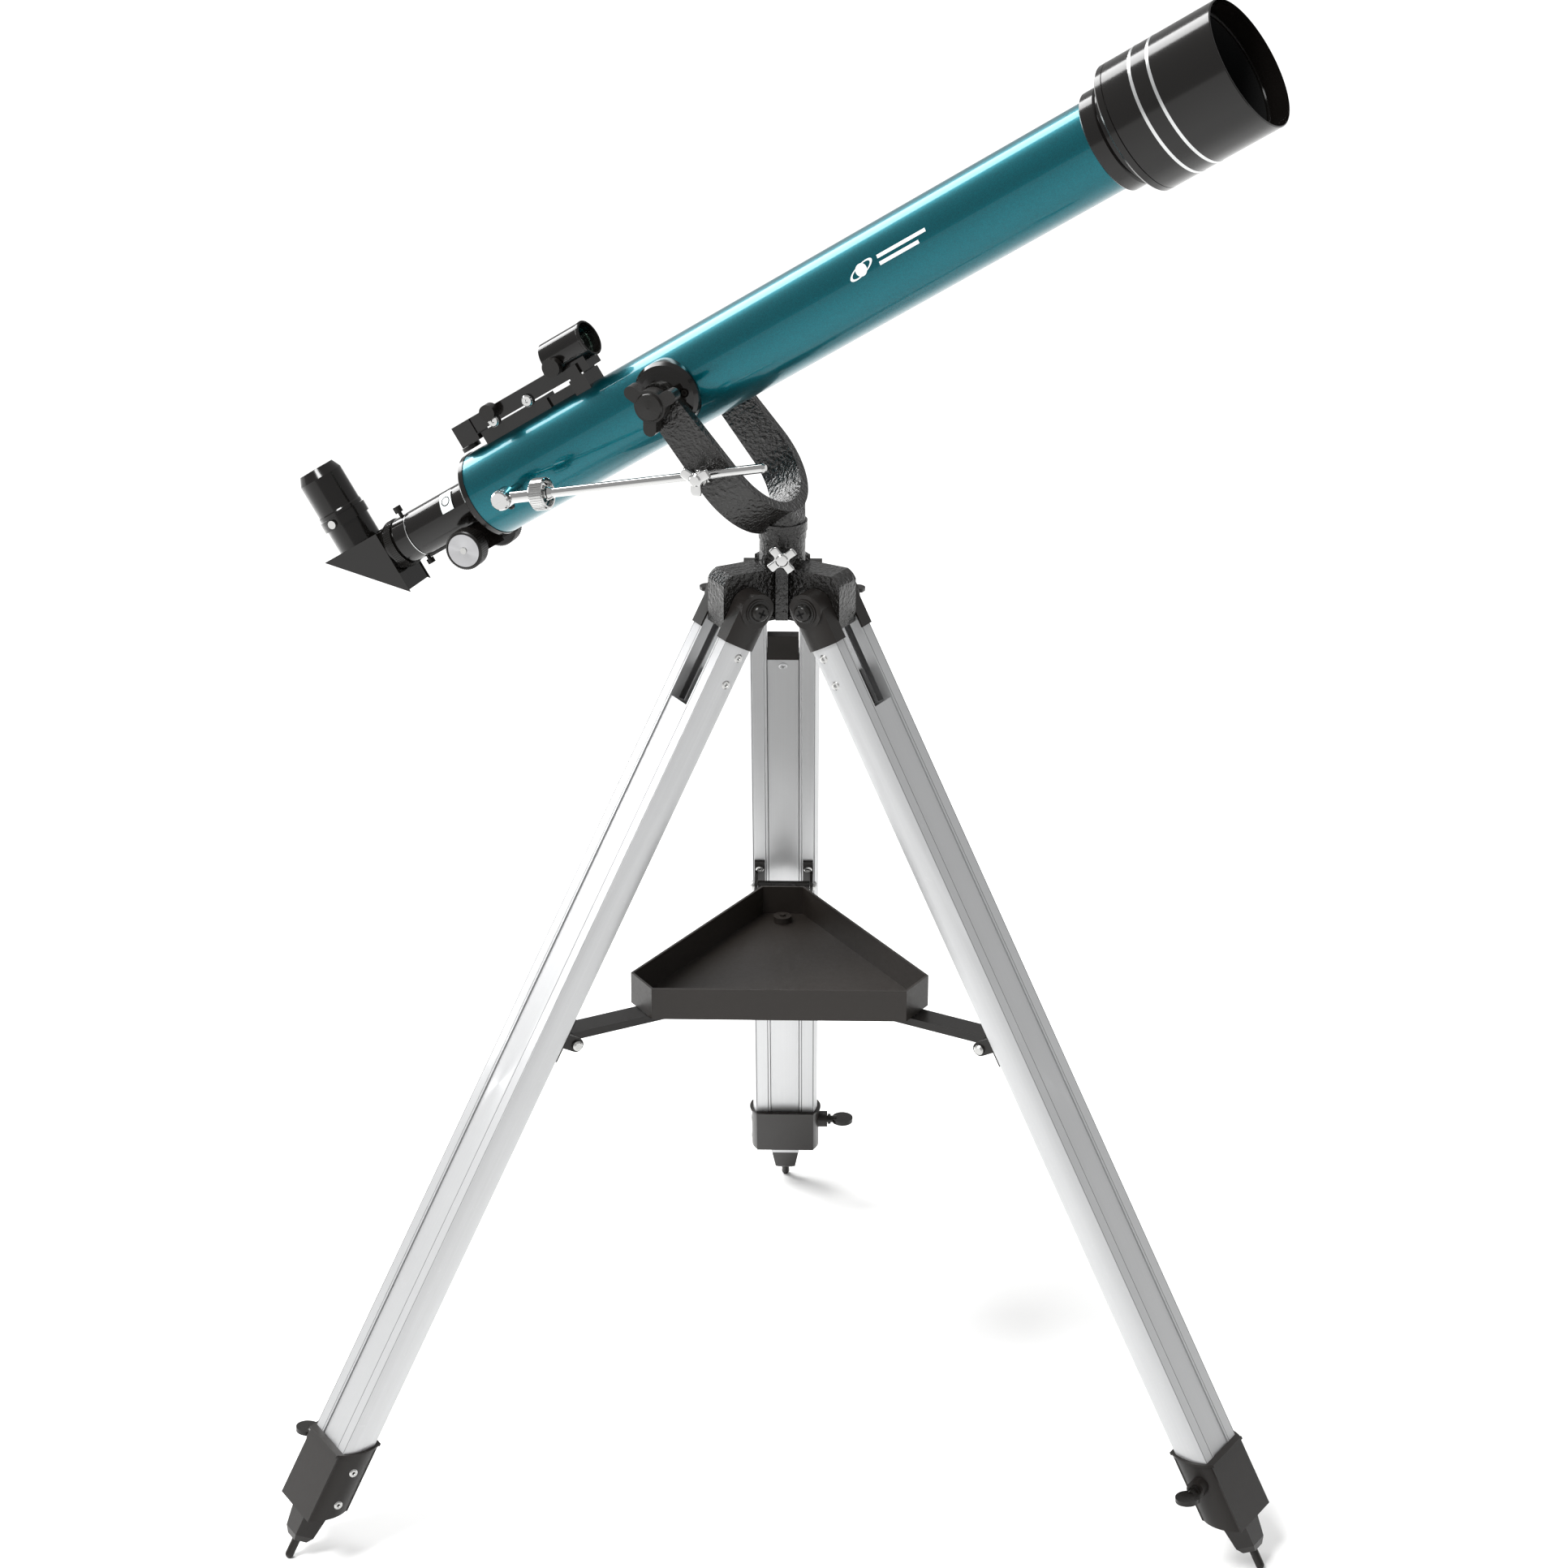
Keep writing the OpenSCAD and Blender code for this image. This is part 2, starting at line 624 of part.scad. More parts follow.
module dew_shield() color("#121110") on_tube() x_turned([
    [cell_r + run_fit, dew_rear], [dew_r - 1.5, dew_rear], [dew_r, dew_rear + 1.5],
    [dew_r, dew_rear + 6], [dew_r - 0.5, dew_rear + 6.4], [dew_r, dew_rear + 6.8],
    [dew_r, dew_front - 0.6], [dew_r - 0.6, dew_front], [cap_seat_r, dew_front],
    [cap_seat_r, dew_front - cap_seat_depth], [dew_r - dew_wall, dew_front - cap_seat_depth],
    [dew_r - dew_wall, dew_rear + 3], [cell_r + run_fit, dew_rear + 3]]);

module focuser_body() color("#131211") on_tube() difference() {
    union() {
        x_turned([[0, -tube_rear + 8], [tube_r - tube_wall, -tube_rear + 8],
                  [tube_r - tube_wall, -tube_rear], [tube_r + 0.5, -tube_rear],
                  [tube_r + 0.5, -tube_rear - 4], [tube_r - 1.5, -tube_rear - 6],
                  [neck_r + 2, -tube_rear - 7], [neck_r, -tube_rear - 9],
                  [neck_r, neck_end + 0.6], [neck_r - 0.6, neck_end], [0, neck_end]]);
        // rack and pinion housing under the neck
        translate([pinion_at - 11, -12, pinion_u - 9])
            cube([-tube_rear - 5 - pinion_at + 11, 24, -pinion_u - 4]);
        translate([pinion_at, 0, pinion_u]) y_rod(-13, 13, 9);
    }
    x_rod(neck_end - 1, -tube_rear + 10, draw_r + run_fit);
    translate([neck_end - 1, -4.4, rack_u - 0.3]) cube([neck_length + 12, 8.8, 12]);
    translate([pinion_at, 0, pinion_u]) {
        y_rod(-9, 9, pinion_r + 1);
        y_rod(-20, 20, shaft_r + run_fit);
    }
}

module drawtube() color("#171615") on_tube() difference() {
    union() {
        x_rod(neck_end - 2, draw_start, draw_r);
        x_turned([[0, neck_end - gap], [neck_r - 0.7, neck_end - gap],
                  [neck_r - 0.3, neck_end - 1], [neck_r - 0.3, collar_end + 9],
                  [neck_r - 1.5, collar_end + 8.5], [neck_r - 1.5, collar_end + 7.5],
                  [neck_r + 0.5, collar_end + 7], [neck_r + 0.5, collar_end], [0, collar_end]]);
        // rack
        translate([neck_end - 1, -4, rack_u]) cube([draw_start - neck_end + 1, 8, 6]);
    }
    x_rod(neck_end + 3, draw_start + 1, draw_r - 1.4);
    x_rod(collar_end - 1, neck_end + 4, barrel_r - 2.6);
    x_rod(collar_end - 1, neck_end - 1.5, barrel_r + run_fit);
    translate([collar_end + 15, 0, 0]) cylinder(h = 30, r = 1.5);
    translate([collar_end + 17, 0, -30]) cylinder(h = 30, r = 1.5);
}

module drawtube_screws() color("#2b2a29") on_tube() {
    translate([collar_end + 15, 0, barrel_r + 0.4]) {
        cylinder(h = 6, r = 1.5);
        translate([0, 0, 4.6]) cylinder(h = 5, r = 3.2);
    }
    translate([collar_end + 17, 0, -barrel_r - 8.2]) {
        cylinder(h = 8, r = 1.5);
        cylinder(h = 4, r = 3);
    }
}

module focus_pinion() color("#a5a5a3") on_tube() translate([pinion_at, 0, pinion_u]) {
    y_rod(-36, 36, shaft_r);
    rotate([90, 0, 0]) linear_extrude(height = 12, center = true) {
        circle(r = pinion_r - 1.6);
        for (k = [0 : 11]) rotate(30 * k) translate([pinion_r - 1.2, 0])
            square([1.6, 1.1], center = true);
    }
}

module focus_knob() {
    y_turned([[shaft_r, 16], [6, 16], [6, 23], [focus_knob_r - 0.8, 23], [focus_knob_r, 24],
              [focus_knob_r, 35], [focus_knob_r - 0.8, 36], [focus_knob_r - 1.6, 36],
              [focus_knob_r - 1.6, 35.2], [shaft_r, 35.2]]);
}

module focus_knobs() color("#1a1918") on_tube() translate([pinion_at, 0, pinion_u])
    both_sides() focus_knob();

// Side view of the diagonal's housing, drawn in by `inset`.
module prism_outline(inset) {
    polygon([[diagonal_at - inset, prism_top - inset],
             [diagonal_at - inset, prism_top - prism_size + 2.4 * inset],
             [diagonal_at - prism_size - 2 + 2.4 * inset, prism_top - inset]]);
}

module diagonal_body() color("#161514") on_tube() difference() {
    union() {
        translate([0, diagonal_half_w, 0]) rotate([90, 0, 0])
            linear_extrude(height = 2 * diagonal_half_w) prism_outline(0);
        x_rod(diagonal_at - 1, collar_end - gap, neck_r - 1);
        x_rod(diagonal_at - 1, neck_end - 2, barrel_r);
        translate([eyepiece_at, 0, prism_top - 1]) cylinder(h = 28, r = eyepiece_r);
        translate([eyepiece_at, 0, holder_top - 8]) cylinder(h = 8, r = eyepiece_r + 1.6);
        for (s = [-1, 1]) translate([0, s * (diagonal_half_w - 0.5) + 0.5, 0]) rotate([90, 0, 0])
            linear_extrude(height = 1) prism_outline(-0.7);
    }
    difference() {
        translate([0, diagonal_half_w - prism_wall, 0]) rotate([90, 0, 0])
            linear_extrude(height = 2 * (diagonal_half_w - prism_wall)) prism_outline(prism_wall);
        translate([diagonal_at - 3, -20, -40]) cube([3, 40, 60]);
        translate([diagonal_at - 60, -20, prism_top - 3]) cube([60, 40, 3]);
    }
    x_rod(diagonal_at - 4, neck_end + 1, barrel_r - 1.6);
    translate([eyepiece_at, 0, prism_top - 4]) cylinder(h = 40, r = barrel_r + run_fit);
    translate([eyepiece_at, 0, holder_top - 4]) y_rod(-40, 0, 1.8);
}

module diagonal_mirror() color("#c3ccd0") on_tube() {
    mirror_s = diagonal_at - prism_size / 2 + 1.5;
    mirror_u = prism_top - prism_size / 2 + 1.5;
    translate([mirror_s, 0, mirror_u]) rotate([0, 45, 0]) translate([-17, -14, 0])
        cube([34, 28, 2]);
}

module eyepiece() color("#181716") on_tube() {
    translate([eyepiece_at, 0, 0]) difference() {
        rotate_extrude() polygon([
            [0, holder_top - 22], [barrel_r, holder_top - 22], [barrel_r, holder_top + gap],
            [eyepiece_r + 0.6, holder_top + gap], [eyepiece_r + 0.6, holder_top + 3],
            [eyepiece_r, holder_top + 4], [eyepiece_r, eyepiece_top - 7],
            [eyepiece_r - 3.4, eyepiece_top], [9, eyepiece_top], [7, eyepiece_top - 3],
            [0, eyepiece_top - 3]]);
        translate([0, 0, holder_top - 23]) cylinder(h = eyepiece_length + 24, r = 6);
        translate([0, 0, holder_top - 23]) cylinder(h = 18, r = barrel_r - 1.4);
    }
}

module holder_screw() color("#c9c9c7") on_tube() translate([eyepiece_at, 0, holder_top - 4]) {
    y_rod(-eyepiece_r - 4.4, -eyepiece_r - 1.6 - gap, 3.2);
    y_rod(-eyepiece_r - 2, -barrel_r - gap, 1.75);
}

module eyepiece_lens() color("#b9c4cf", 0.5) on_tube() translate([eyepiece_at, 0, 0]) {
    translate([0, 0, eyepiece_top - 9]) cylinder(h = 4, r = 6);
    translate([0, 0, holder_top - 4.9]) cylinder(h = 3, r = 6);
}

module finder_base() color("#1f1e1d") on_tube() difference() {
    union() {
        translate([finder_rear + 19, -7, tube_r - 6]) cube([63, 14, 15.4]);
        translate([finder_rear + 82, -5, tube_r - 6]) cube([30, 10, 13]);
        translate([finder_rear + 108, -finder_ear_y - 2, tube_r - 6])
            cube([14, 2 * finder_ear_y + 4, 15.4]);
        both_sides() translate([finder_rear + 110, finder_ear_y, finder_base_top - 4])
            cube([10, 2, 13]);
        translate([finder_rear + 115, 0, finder_pin_u]) y_rod(-finder_ear_y - 2, finder_ear_y + 2, 1.5);
    }
    x_rod(finder_rear, finder_rear + 200, tube_r);
}

module finder_body() color("#23211f") on_tube() {
    difference() {
        union() {
            translate([finder_rear + 9, -8, finder_low]) cube([97, 16, 12]);
            translate([finder_rear, -9, finder_low - 5]) cube([17, 18, 17]);
            translate([finder_rear + 92, -10, finder_low]) cube([36, 20, 13]);
            translate([finder_rear + 105, 0, finder_low + 14]) y_rod(-finder_boss_y, 0, 5.5);
            translate([0, 0, sight_u]) x_rod(sight_front - sight_length, sight_front, sight_r);
        }
        translate([0, 0, sight_u])
            x_rod(sight_front - sight_length - 1, sight_front + 1, sight_r - 1.3);
        translate([finder_rear + 115, 0, finder_pin_u]) y_rod(-15, 15, 1.5 + run_fit);
        translate([finder_rear + 2, 0, finder_low - 6]) cylinder(h = 8, r = 2);
    }
}

module finder_knobs() color("#2b2927") on_tube() {
    translate([finder_rear + 105, 0, finder_low + 14]) y_rod(-finder_boss_y - 6, -finder_boss_y, 7);
    translate([finder_rear + 37, 0, finder_low + 9]) y_rod(-16, -8, 6.2);
    translate([finder_rear + 2, 0, 0]) {
        translate([0, 0, tube_r + 2]) cylinder(h = 3.3, r = 7.4);
        translate([0, 0, tube_r + 4]) cylinder(h = finder_low + 2 - tube_r - 4, r = 2);
    }
}

module rod_post() color("#cfcfcd") on_tube() translate([post_s, 0, post_u]) difference() {
    union() {
        y_rod(rod_y + 6.4, -24, 4.6);
        y_rod(rod_y - 7, rod_y + 7, 3);
        y_turned([[0, rod_y - 8.4], [6.2, rod_y - 8.4], [7.2, rod_y - 7.2], [7.2, rod_y - 5.4],
                  [0, rod_y - 5.4]]);
    }
    translate([-post_s, 0, -post_u]) x_rod(post_s - 20, post_s + 20, tube_r);
    translate([-8, rod_y - 9, -0.7]) cube([16, 1.8, 1.4]);
}

// Places the children on the slow motion rod: X along the rod from its hinge.
module on_rod() {
    rotate([0, 0, tube_azimuth]) translate([post_e, rod_y, post_z]) rotate([0, -rod_angle, 0])
        children();
}

module slow_motion_rod() color("#d5d5d3") on_rod() difference() {
    union() {
        y_rod(-5, 6, 7.6);
        x_rod(0, wheel_at - wheel_w / 2 - 1, 4.4);
        x_rod(0, wheel_at + wheel_w, 2.6);
        x_turned([[0, wheel_at + wheel_w / 2 + 1], [rod_r + 1.4, wheel_at + wheel_w / 2 + 1],
                  [rod_r, wheel_at + wheel_w / 2 + 4], [rod_r, rod_length - 2],
                  [rod_r - 1.4, rod_length], [0, rod_length]]);
    }
    y_rod(-6, 7, 3 + run_fit);
}

module rod_wheel() color("#d2d2d0") on_rod() translate([wheel_at, 0, 0]) difference() {
    x_turned([[0, -wheel_w / 2], [wheel_r - 1, -wheel_w / 2], [wheel_r, -wheel_w / 2 + 1],
              [wheel_r, wheel_w / 2 - 1], [wheel_r - 1, wheel_w / 2], [0, wheel_w / 2]]);
    x_rod(-wheel_w, wheel_w, 2.6 + run_fit);
    x_turned([[4.5, 3], [wheel_r - 2.5, 3], [wheel_r - 2.5, wheel_w], [4.5, wheel_w]]);
}

module rod_clamp() color("#cbcbc9") on_rod() translate([clamp_at, 0, 0]) difference() {
    union() {
        y_rod(-8, -rod_y - yoke_outer - gap, 6.6);
        x_rod(-6.6, 6.6, 5.8);
    }
    x_rod(-9, 9, rod_r + run_fit);
    y_rod(-9, -rod_r + 1, 2 + run_fit);
}

module clamp_screw() color("#d8d8d6") on_rod() translate([clamp_at, 0, 0]) {
    y_rod(-12, -rod_r - gap, 2);
    y_rod(-11, -8 - gap, 4.5);
    translate([0, -10.5, 0]) rotate([90, 20, 0]) linear_extrude(height = 4) lobes(3, 5.5, 12.5, 2.8);
}

head_casting();
azimuth_lock_knob();
tray();
tray_knobs();
yoke();
pivot_discs();
altitude_knob_left();
altitude_knob_right();
main_tube();
lens_cell();
objective_lens();
dew_shield();
focuser_body();
drawtube();
drawtube_screws();
focus_pinion();
focus_knobs();
diagonal_body();
diagonal_mirror();
holder_screw();
eyepiece();
eyepiece_lens();
finder_base();
finder_body();
finder_knobs();
rod_post();
slow_motion_rod();
rod_wheel();
rod_clamp();
clamp_screw();
leg_caps(rear);  // leg_caps_rear
leg_rails(rear);  // leg_rails_rear
leg_fasteners(rear);  // leg_fasteners_rear
wing_nut(rear);  // wing_nut_rear
foot_bracket(rear);  // foot_bracket_rear
lock_screw(rear);  // lock_screw_rear
inner_leg(rear);  // inner_leg_rear
inner_ends(rear);  // inner_ends_rear
brace_hinge(rear);  // brace_hinge_rear
brace_arm(rear);  // brace_arm_rear
leg_caps(left);  // leg_caps_left
leg_rails(left);  // leg_rails_left
leg_fasteners(left);  // leg_fasteners_left
wing_nut(left);  // wing_nut_left
foot_bracket(left);  // foot_bracket_left
lock_screw(left);  // lock_screw_left
inner_leg(left);  // inner_leg_left
inner_ends(left);  // inner_ends_left
brace_hinge(left);  // brace_hinge_left
brace_arm(left);  // brace_arm_left
leg_caps(right);  // leg_caps_right
leg_rails(right);  // leg_rails_right
leg_fasteners(right);  // leg_fasteners_right
wing_nut(right);  // wing_nut_right
foot_bracket(right);  // foot_bracket_right
lock_screw(right);  // lock_screw_right
inner_leg(right);  // inner_leg_right
inner_ends(right);  // inner_ends_right
brace_hinge(right);  // brace_hinge_right
brace_arm(right);  // brace_arm_right
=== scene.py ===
"""Looks of a small refracting telescope on a folding aluminium tripod.

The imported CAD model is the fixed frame. Each sub-assembly is a class that dresses its CAD nodes and
adds the fine pieces that ride on them. All lengths are in metres.
"""

import json
import logging
import math
from dataclasses import dataclass
from enum import Enum

import bmesh
import bpy
from mathutils import Matrix, Vector

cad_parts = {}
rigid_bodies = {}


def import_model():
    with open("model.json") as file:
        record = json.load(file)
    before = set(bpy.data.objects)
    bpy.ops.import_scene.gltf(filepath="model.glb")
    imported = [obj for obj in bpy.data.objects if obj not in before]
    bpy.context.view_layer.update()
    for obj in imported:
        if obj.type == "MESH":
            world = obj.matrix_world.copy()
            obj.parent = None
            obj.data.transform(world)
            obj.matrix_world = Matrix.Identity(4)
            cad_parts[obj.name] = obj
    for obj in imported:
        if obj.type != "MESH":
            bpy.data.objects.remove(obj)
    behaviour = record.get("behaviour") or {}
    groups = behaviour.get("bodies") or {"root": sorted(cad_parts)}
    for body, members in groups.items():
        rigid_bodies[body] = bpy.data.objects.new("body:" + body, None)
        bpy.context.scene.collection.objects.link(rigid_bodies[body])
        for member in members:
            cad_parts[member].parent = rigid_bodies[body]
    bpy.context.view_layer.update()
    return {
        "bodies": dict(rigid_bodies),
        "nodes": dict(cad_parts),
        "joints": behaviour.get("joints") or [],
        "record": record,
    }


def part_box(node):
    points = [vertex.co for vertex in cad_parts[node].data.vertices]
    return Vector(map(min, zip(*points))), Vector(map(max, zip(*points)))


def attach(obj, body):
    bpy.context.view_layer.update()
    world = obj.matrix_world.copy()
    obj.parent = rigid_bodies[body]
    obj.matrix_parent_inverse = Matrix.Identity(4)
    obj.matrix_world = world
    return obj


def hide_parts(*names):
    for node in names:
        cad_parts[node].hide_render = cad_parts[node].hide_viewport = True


LOG = logging.getLogger("telescope")
MM = 0.001
FULL_TURN = 2 * math.pi
SHARP_ANGLE = math.radians(32)


class Leg(Enum):
    """The three legs, named by where they stand."""

    REAR = "rear"
    LEFT = "left"
    RIGHT = "right"


class Axis(Enum):
    """The axis of a part's own frame that a turned piece is made around."""

    X = "x"
    Y = "y"
    Z = "z"


AXIS_TURN = {
    Axis.X: Matrix.Rotation(math.radians(90), 4, "Y"),
    Axis.Y: Matrix.Rotation(math.radians(-90), 4, "X"),
    Axis.Z: Matrix.Identity(4),
}
TURN_RIGHT = Matrix.Rotation(math.radians(90), 4, "X")

# ---------------------------------------------------------------------------- shader groups


def new_group(name: str, inputs: dict, outputs: tuple[str, ...]) -> tuple:
    """Makes an empty shader node group that takes a vector and more.

    Args:
        name: Name of the group.
        inputs: Default value of each input after the vector, a number or a colour.
        outputs: Name of each output.

    Returns:
        The group, its input node and its output node.
    """
    group = bpy.data.node_groups.new(name, "ShaderNodeTree")
    group.interface.new_socket("Vector", in_out="INPUT", socket_type="NodeSocketVector")
    for label, value in inputs.items():
        kind = "NodeSocketColor" if label == "Color" else "NodeSocketFloat"
        group.interface.new_socket(label, in_out="INPUT", socket_type=kind).default_value = value
    for label in outputs:
        kind = "NodeSocketColor" if label == "Color" else "NodeSocketFloat"
        group.interface.new_socket(label, in_out="OUTPUT", socket_type=kind)
    return group, group.nodes.new("NodeGroupInput"), group.nodes.new("NodeGroupOutput")


def node_of(tree: bpy.types.NodeTree, kind: str, values: dict | None = None, **facts) -> bpy.types.Node:
    """Adds a node to a tree.

    Args:
        tree: The node tree.
        kind: Type name of the node.
        values: Default value of each named or numbered input.
        **facts: Properties of the node.

    Returns:
        The new node.
    """
    node = tree.nodes.new(kind)
    for key, value in facts.items():
        setattr(node, key, value)
    for key, value in (values or {}).items():
        node.inputs[key].default_value = value
    return node


def feed(source: bpy.types.NodeSocket, label: str | int, *nodes: bpy.types.Node) -> None:
    """Links a socket to the input with one label, or number, of each node."""
    for node in nodes:
        node.id_data.links.new(source, node.inputs[label])


def group_of(tree: bpy.types.NodeTree, kind: bpy.types.NodeTree, vector: bpy.types.NodeSocket,
             values: dict | None = None) -> bpy.types.Node:
    """Adds a shader group with its vector linked and the values of its other inputs."""
    node = node_of(tree, "ShaderNodeGroup", values, node_tree=kind)
    feed(vector, "Vector", node)
    return node


def relief(tree: bpy.types.NodeTree, height: bpy.types.NodeSocket, depth: float,
           shader: bpy.types.Node) -> None:
    """Gives a shader bumps of a depth in metres."""
    bump = node_of(tree, "ShaderNodeBump", {"Strength": 1.0, "Distance": depth})
    feed(height, "Height", bump)
    feed(bump.outputs["Normal"], "Normal", shader)


def math_of(tree: bpy.types.NodeTree, operation: str, a, b=None, clamp: bool = False):
    """Adds a Math node and returns its output.

    Args:
        tree: The node tree.
        operation: Name of the operation.
        a: First value, a number or a socket.
        b: Second value, a number or a socket.
        clamp: Whether the result is kept between 0 and 1.

    Returns:
        The output socket.
    """
    node = node_of(tree, "ShaderNodeMath", operation=operation, use_clamp=clamp)
    for index, value in enumerate((a, b)):
        if value is None:
            continue
        if isinstance(value, (int, float)):
            node.inputs[index].default_value = value
        else:
            feed(value, index, node)
    return node.outputs[0]


def mixed(tree: bpy.types.NodeTree, factor, a, b):
    """Mixes two colours.

    Args:
        tree: The node tree.
        factor: Socket of the mix factor.
        a: Colour or socket at factor 0.
        b: Colour or socket at factor 1.

    Returns:
        The output socket.
    """
    node = node_of(tree, "ShaderNodeMix", data_type="RGBA")
    feed(factor, 0, node)
    for index, value in ((6, a), (7, b)):
        if isinstance(value, bpy.types.NodeSocket):
            feed(value, index, node)
        else:
            node.inputs[index].default_value = value
    return node.outputs[2]


class Effects:
    """The shader groups that several finishes share."""

    def __init__(self) -> None:
        """Builds each group once."""
        self.variation = self._variation()
        self.hammertone = self._hammertone()
        self.grain = self._grain()
        self.drawn = self._drawn()
        self.grooves = self._grooves()

    @staticmethod
    def _variation() -> bpy.types.NodeTree:
        """Broad colour drift with small scuffs and specks of dust."""
        group, source, result = new_group(
            "surface variation", {"Color": (1, 1, 1, 1), "Drift": 0.2, "Scuff": 0.2,
                                  "Roughness": 0.4, "Spread": 0.08}, ("Color", "Roughness"))
        broad = node_of(group, "ShaderNodeTexNoise", {"Scale": 16.0, "Detail": 4.0})
        scuffs = node_of(group, "ShaderNodeTexNoise",
                         {"Scale": 240.0, "Detail": 6.0, "Roughness": 0.7, "Distortion": 1.2})
        feed(source.outputs["Vector"], "Vector", broad, scuffs)
        dark = node_of(group, "ShaderNodeHueSaturation", {"Value": 0.62})
        pale = node_of(group, "ShaderNodeHueSaturation", {"Value": 2.2, "Saturation": 0.7})
        feed(source.outputs["Color"], "Color", dark, pale)
        drift = math_of(group, "MULTIPLY", broad.outputs["Fac"], source.outputs["Drift"], clamp=True)
        base = mixed(group, drift, source.outputs["Color"], dark.outputs["Color"])
        edge = node_of(group, "ShaderNodeMapRange", {"From Min": 0.60, "From Max": 0.78})
        feed(scuffs.outputs["Fac"], "Value", edge)
        scuff = math_of(group, "MULTIPLY", edge.outputs[0], source.outputs["Scuff"], clamp=True)
        feed(mixed(group, scuff, base, pale.outputs["Color"]), "Color", result)
        centred = math_of(group, "SUBTRACT", scuffs.outputs["Fac"], 0.45)
        spread = math_of(group, "MULTIPLY", centred, source.outputs["Spread"])
        total = math_of(group, "ADD", source.outputs["Roughness"], spread, clamp=True)
        feed(total, "Roughness", result)
        return group

    @staticmethod
    def _hammertone() -> bpy.types.NodeTree:
        """Rounded bumps of hammertone paint."""
        group, source, result = new_group("hammertone", {"Scale": 360.0}, ("Height",))
        cells = node_of(group, "ShaderNodeTexVoronoi", {"Randomness": 1.0}, feature="SMOOTH_F1")
        ripple = node_of(group, "ShaderNodeTexNoise", {"Detail": 3.0})
        feed(source.outputs["Vector"], "Vector", cells, ripple)
        feed(source.outputs["Scale"], "Scale", cells, ripple)
        product = math_of(group, "MULTIPLY", cells.outputs["Distance"], ripple.outputs["Fac"])
        height = math_of(group, "ADD", product, ripple.outputs["Fac"])
        feed(height, "Height", result)
        return group

    @staticmethod
    def _grain() -> bpy.types.NodeTree:
        """Fine moulded grain of plastic, or the flakes in a lacquer."""
        group, source, result = new_group("fine grain", {"Scale": 2600.0}, ("Height", "Flake"))
        noise = node_of(group, "ShaderNodeTexNoise", {"Detail": 2.0, "Roughness": 0.6})
        cells = node_of(group, "ShaderNodeTexVoronoi", {"Randomness": 1.0})
        feed(source.outputs["Vector"], "Vector", noise, cells)
        feed(source.outputs["Scale"], "Scale", noise, cells)
        split = node_of(group, "ShaderNodeSeparateColor")
        feed(cells.outputs["Color"], 0, split)
        feed(noise.outputs["Fac"], "Height", result)
        feed(split.outputs[0], "Flake", result)
        return group

    @staticmethod
    def _drawn() -> bpy.types.NodeTree:
        """Lines that run along the Z axis of the vector, as on drawn metal."""
        group, source, result = new_group("drawn lines", {"Fineness": 1.0}, ("Lines",))
        stretch = node_of(group, "ShaderNodeMapping", {"Scale": (1500.0, 1500.0, 5.0)})
        noise = node_of(group, "ShaderNodeTexNoise", {"Detail": 3.0, "Roughness": 0.55})
        feed(source.outputs["Vector"], "Vector", stretch)
        feed(stretch.outputs[0], "Vector", noise)
        feed(source.outputs["Fineness"], "Scale", noise)
        feed(noise.outputs["Fac"], "Lines", result)
        return group

    @staticmethod
    def _grooves() -> bpy.types.NodeTree:
        """A mask of two thin grooves at a distance on each side of the middle plane."""
        group, source, result = new_group(
            "extrusion grooves", {"Inner": 0.0145, "Outer": 0.024, "Width": 0.0005}, ("Mask",))
        split = node_of(group, "ShaderNodeSeparateXYZ")
        feed(source.outputs["Vector"], 0, split)
        across = math_of(group, "ABSOLUTE", split.outputs["Y"])
        masks = []
        for name in ("Inner", "Outer"):
            away = math_of(group, "ABSOLUTE", math_of(group, "SUBTRACT", across, source.outputs[name]))
            ratio = math_of(group, "DIVIDE", away, source.outputs["Width"])
            masks.append(math_of(group, "SUBTRACT", 1.0, ratio, clamp=True))
        feed(math_of(group, "MAXIMUM", *masks), "Mask", result)
        return group


# --------------------------------------------------------------------------------- finishes


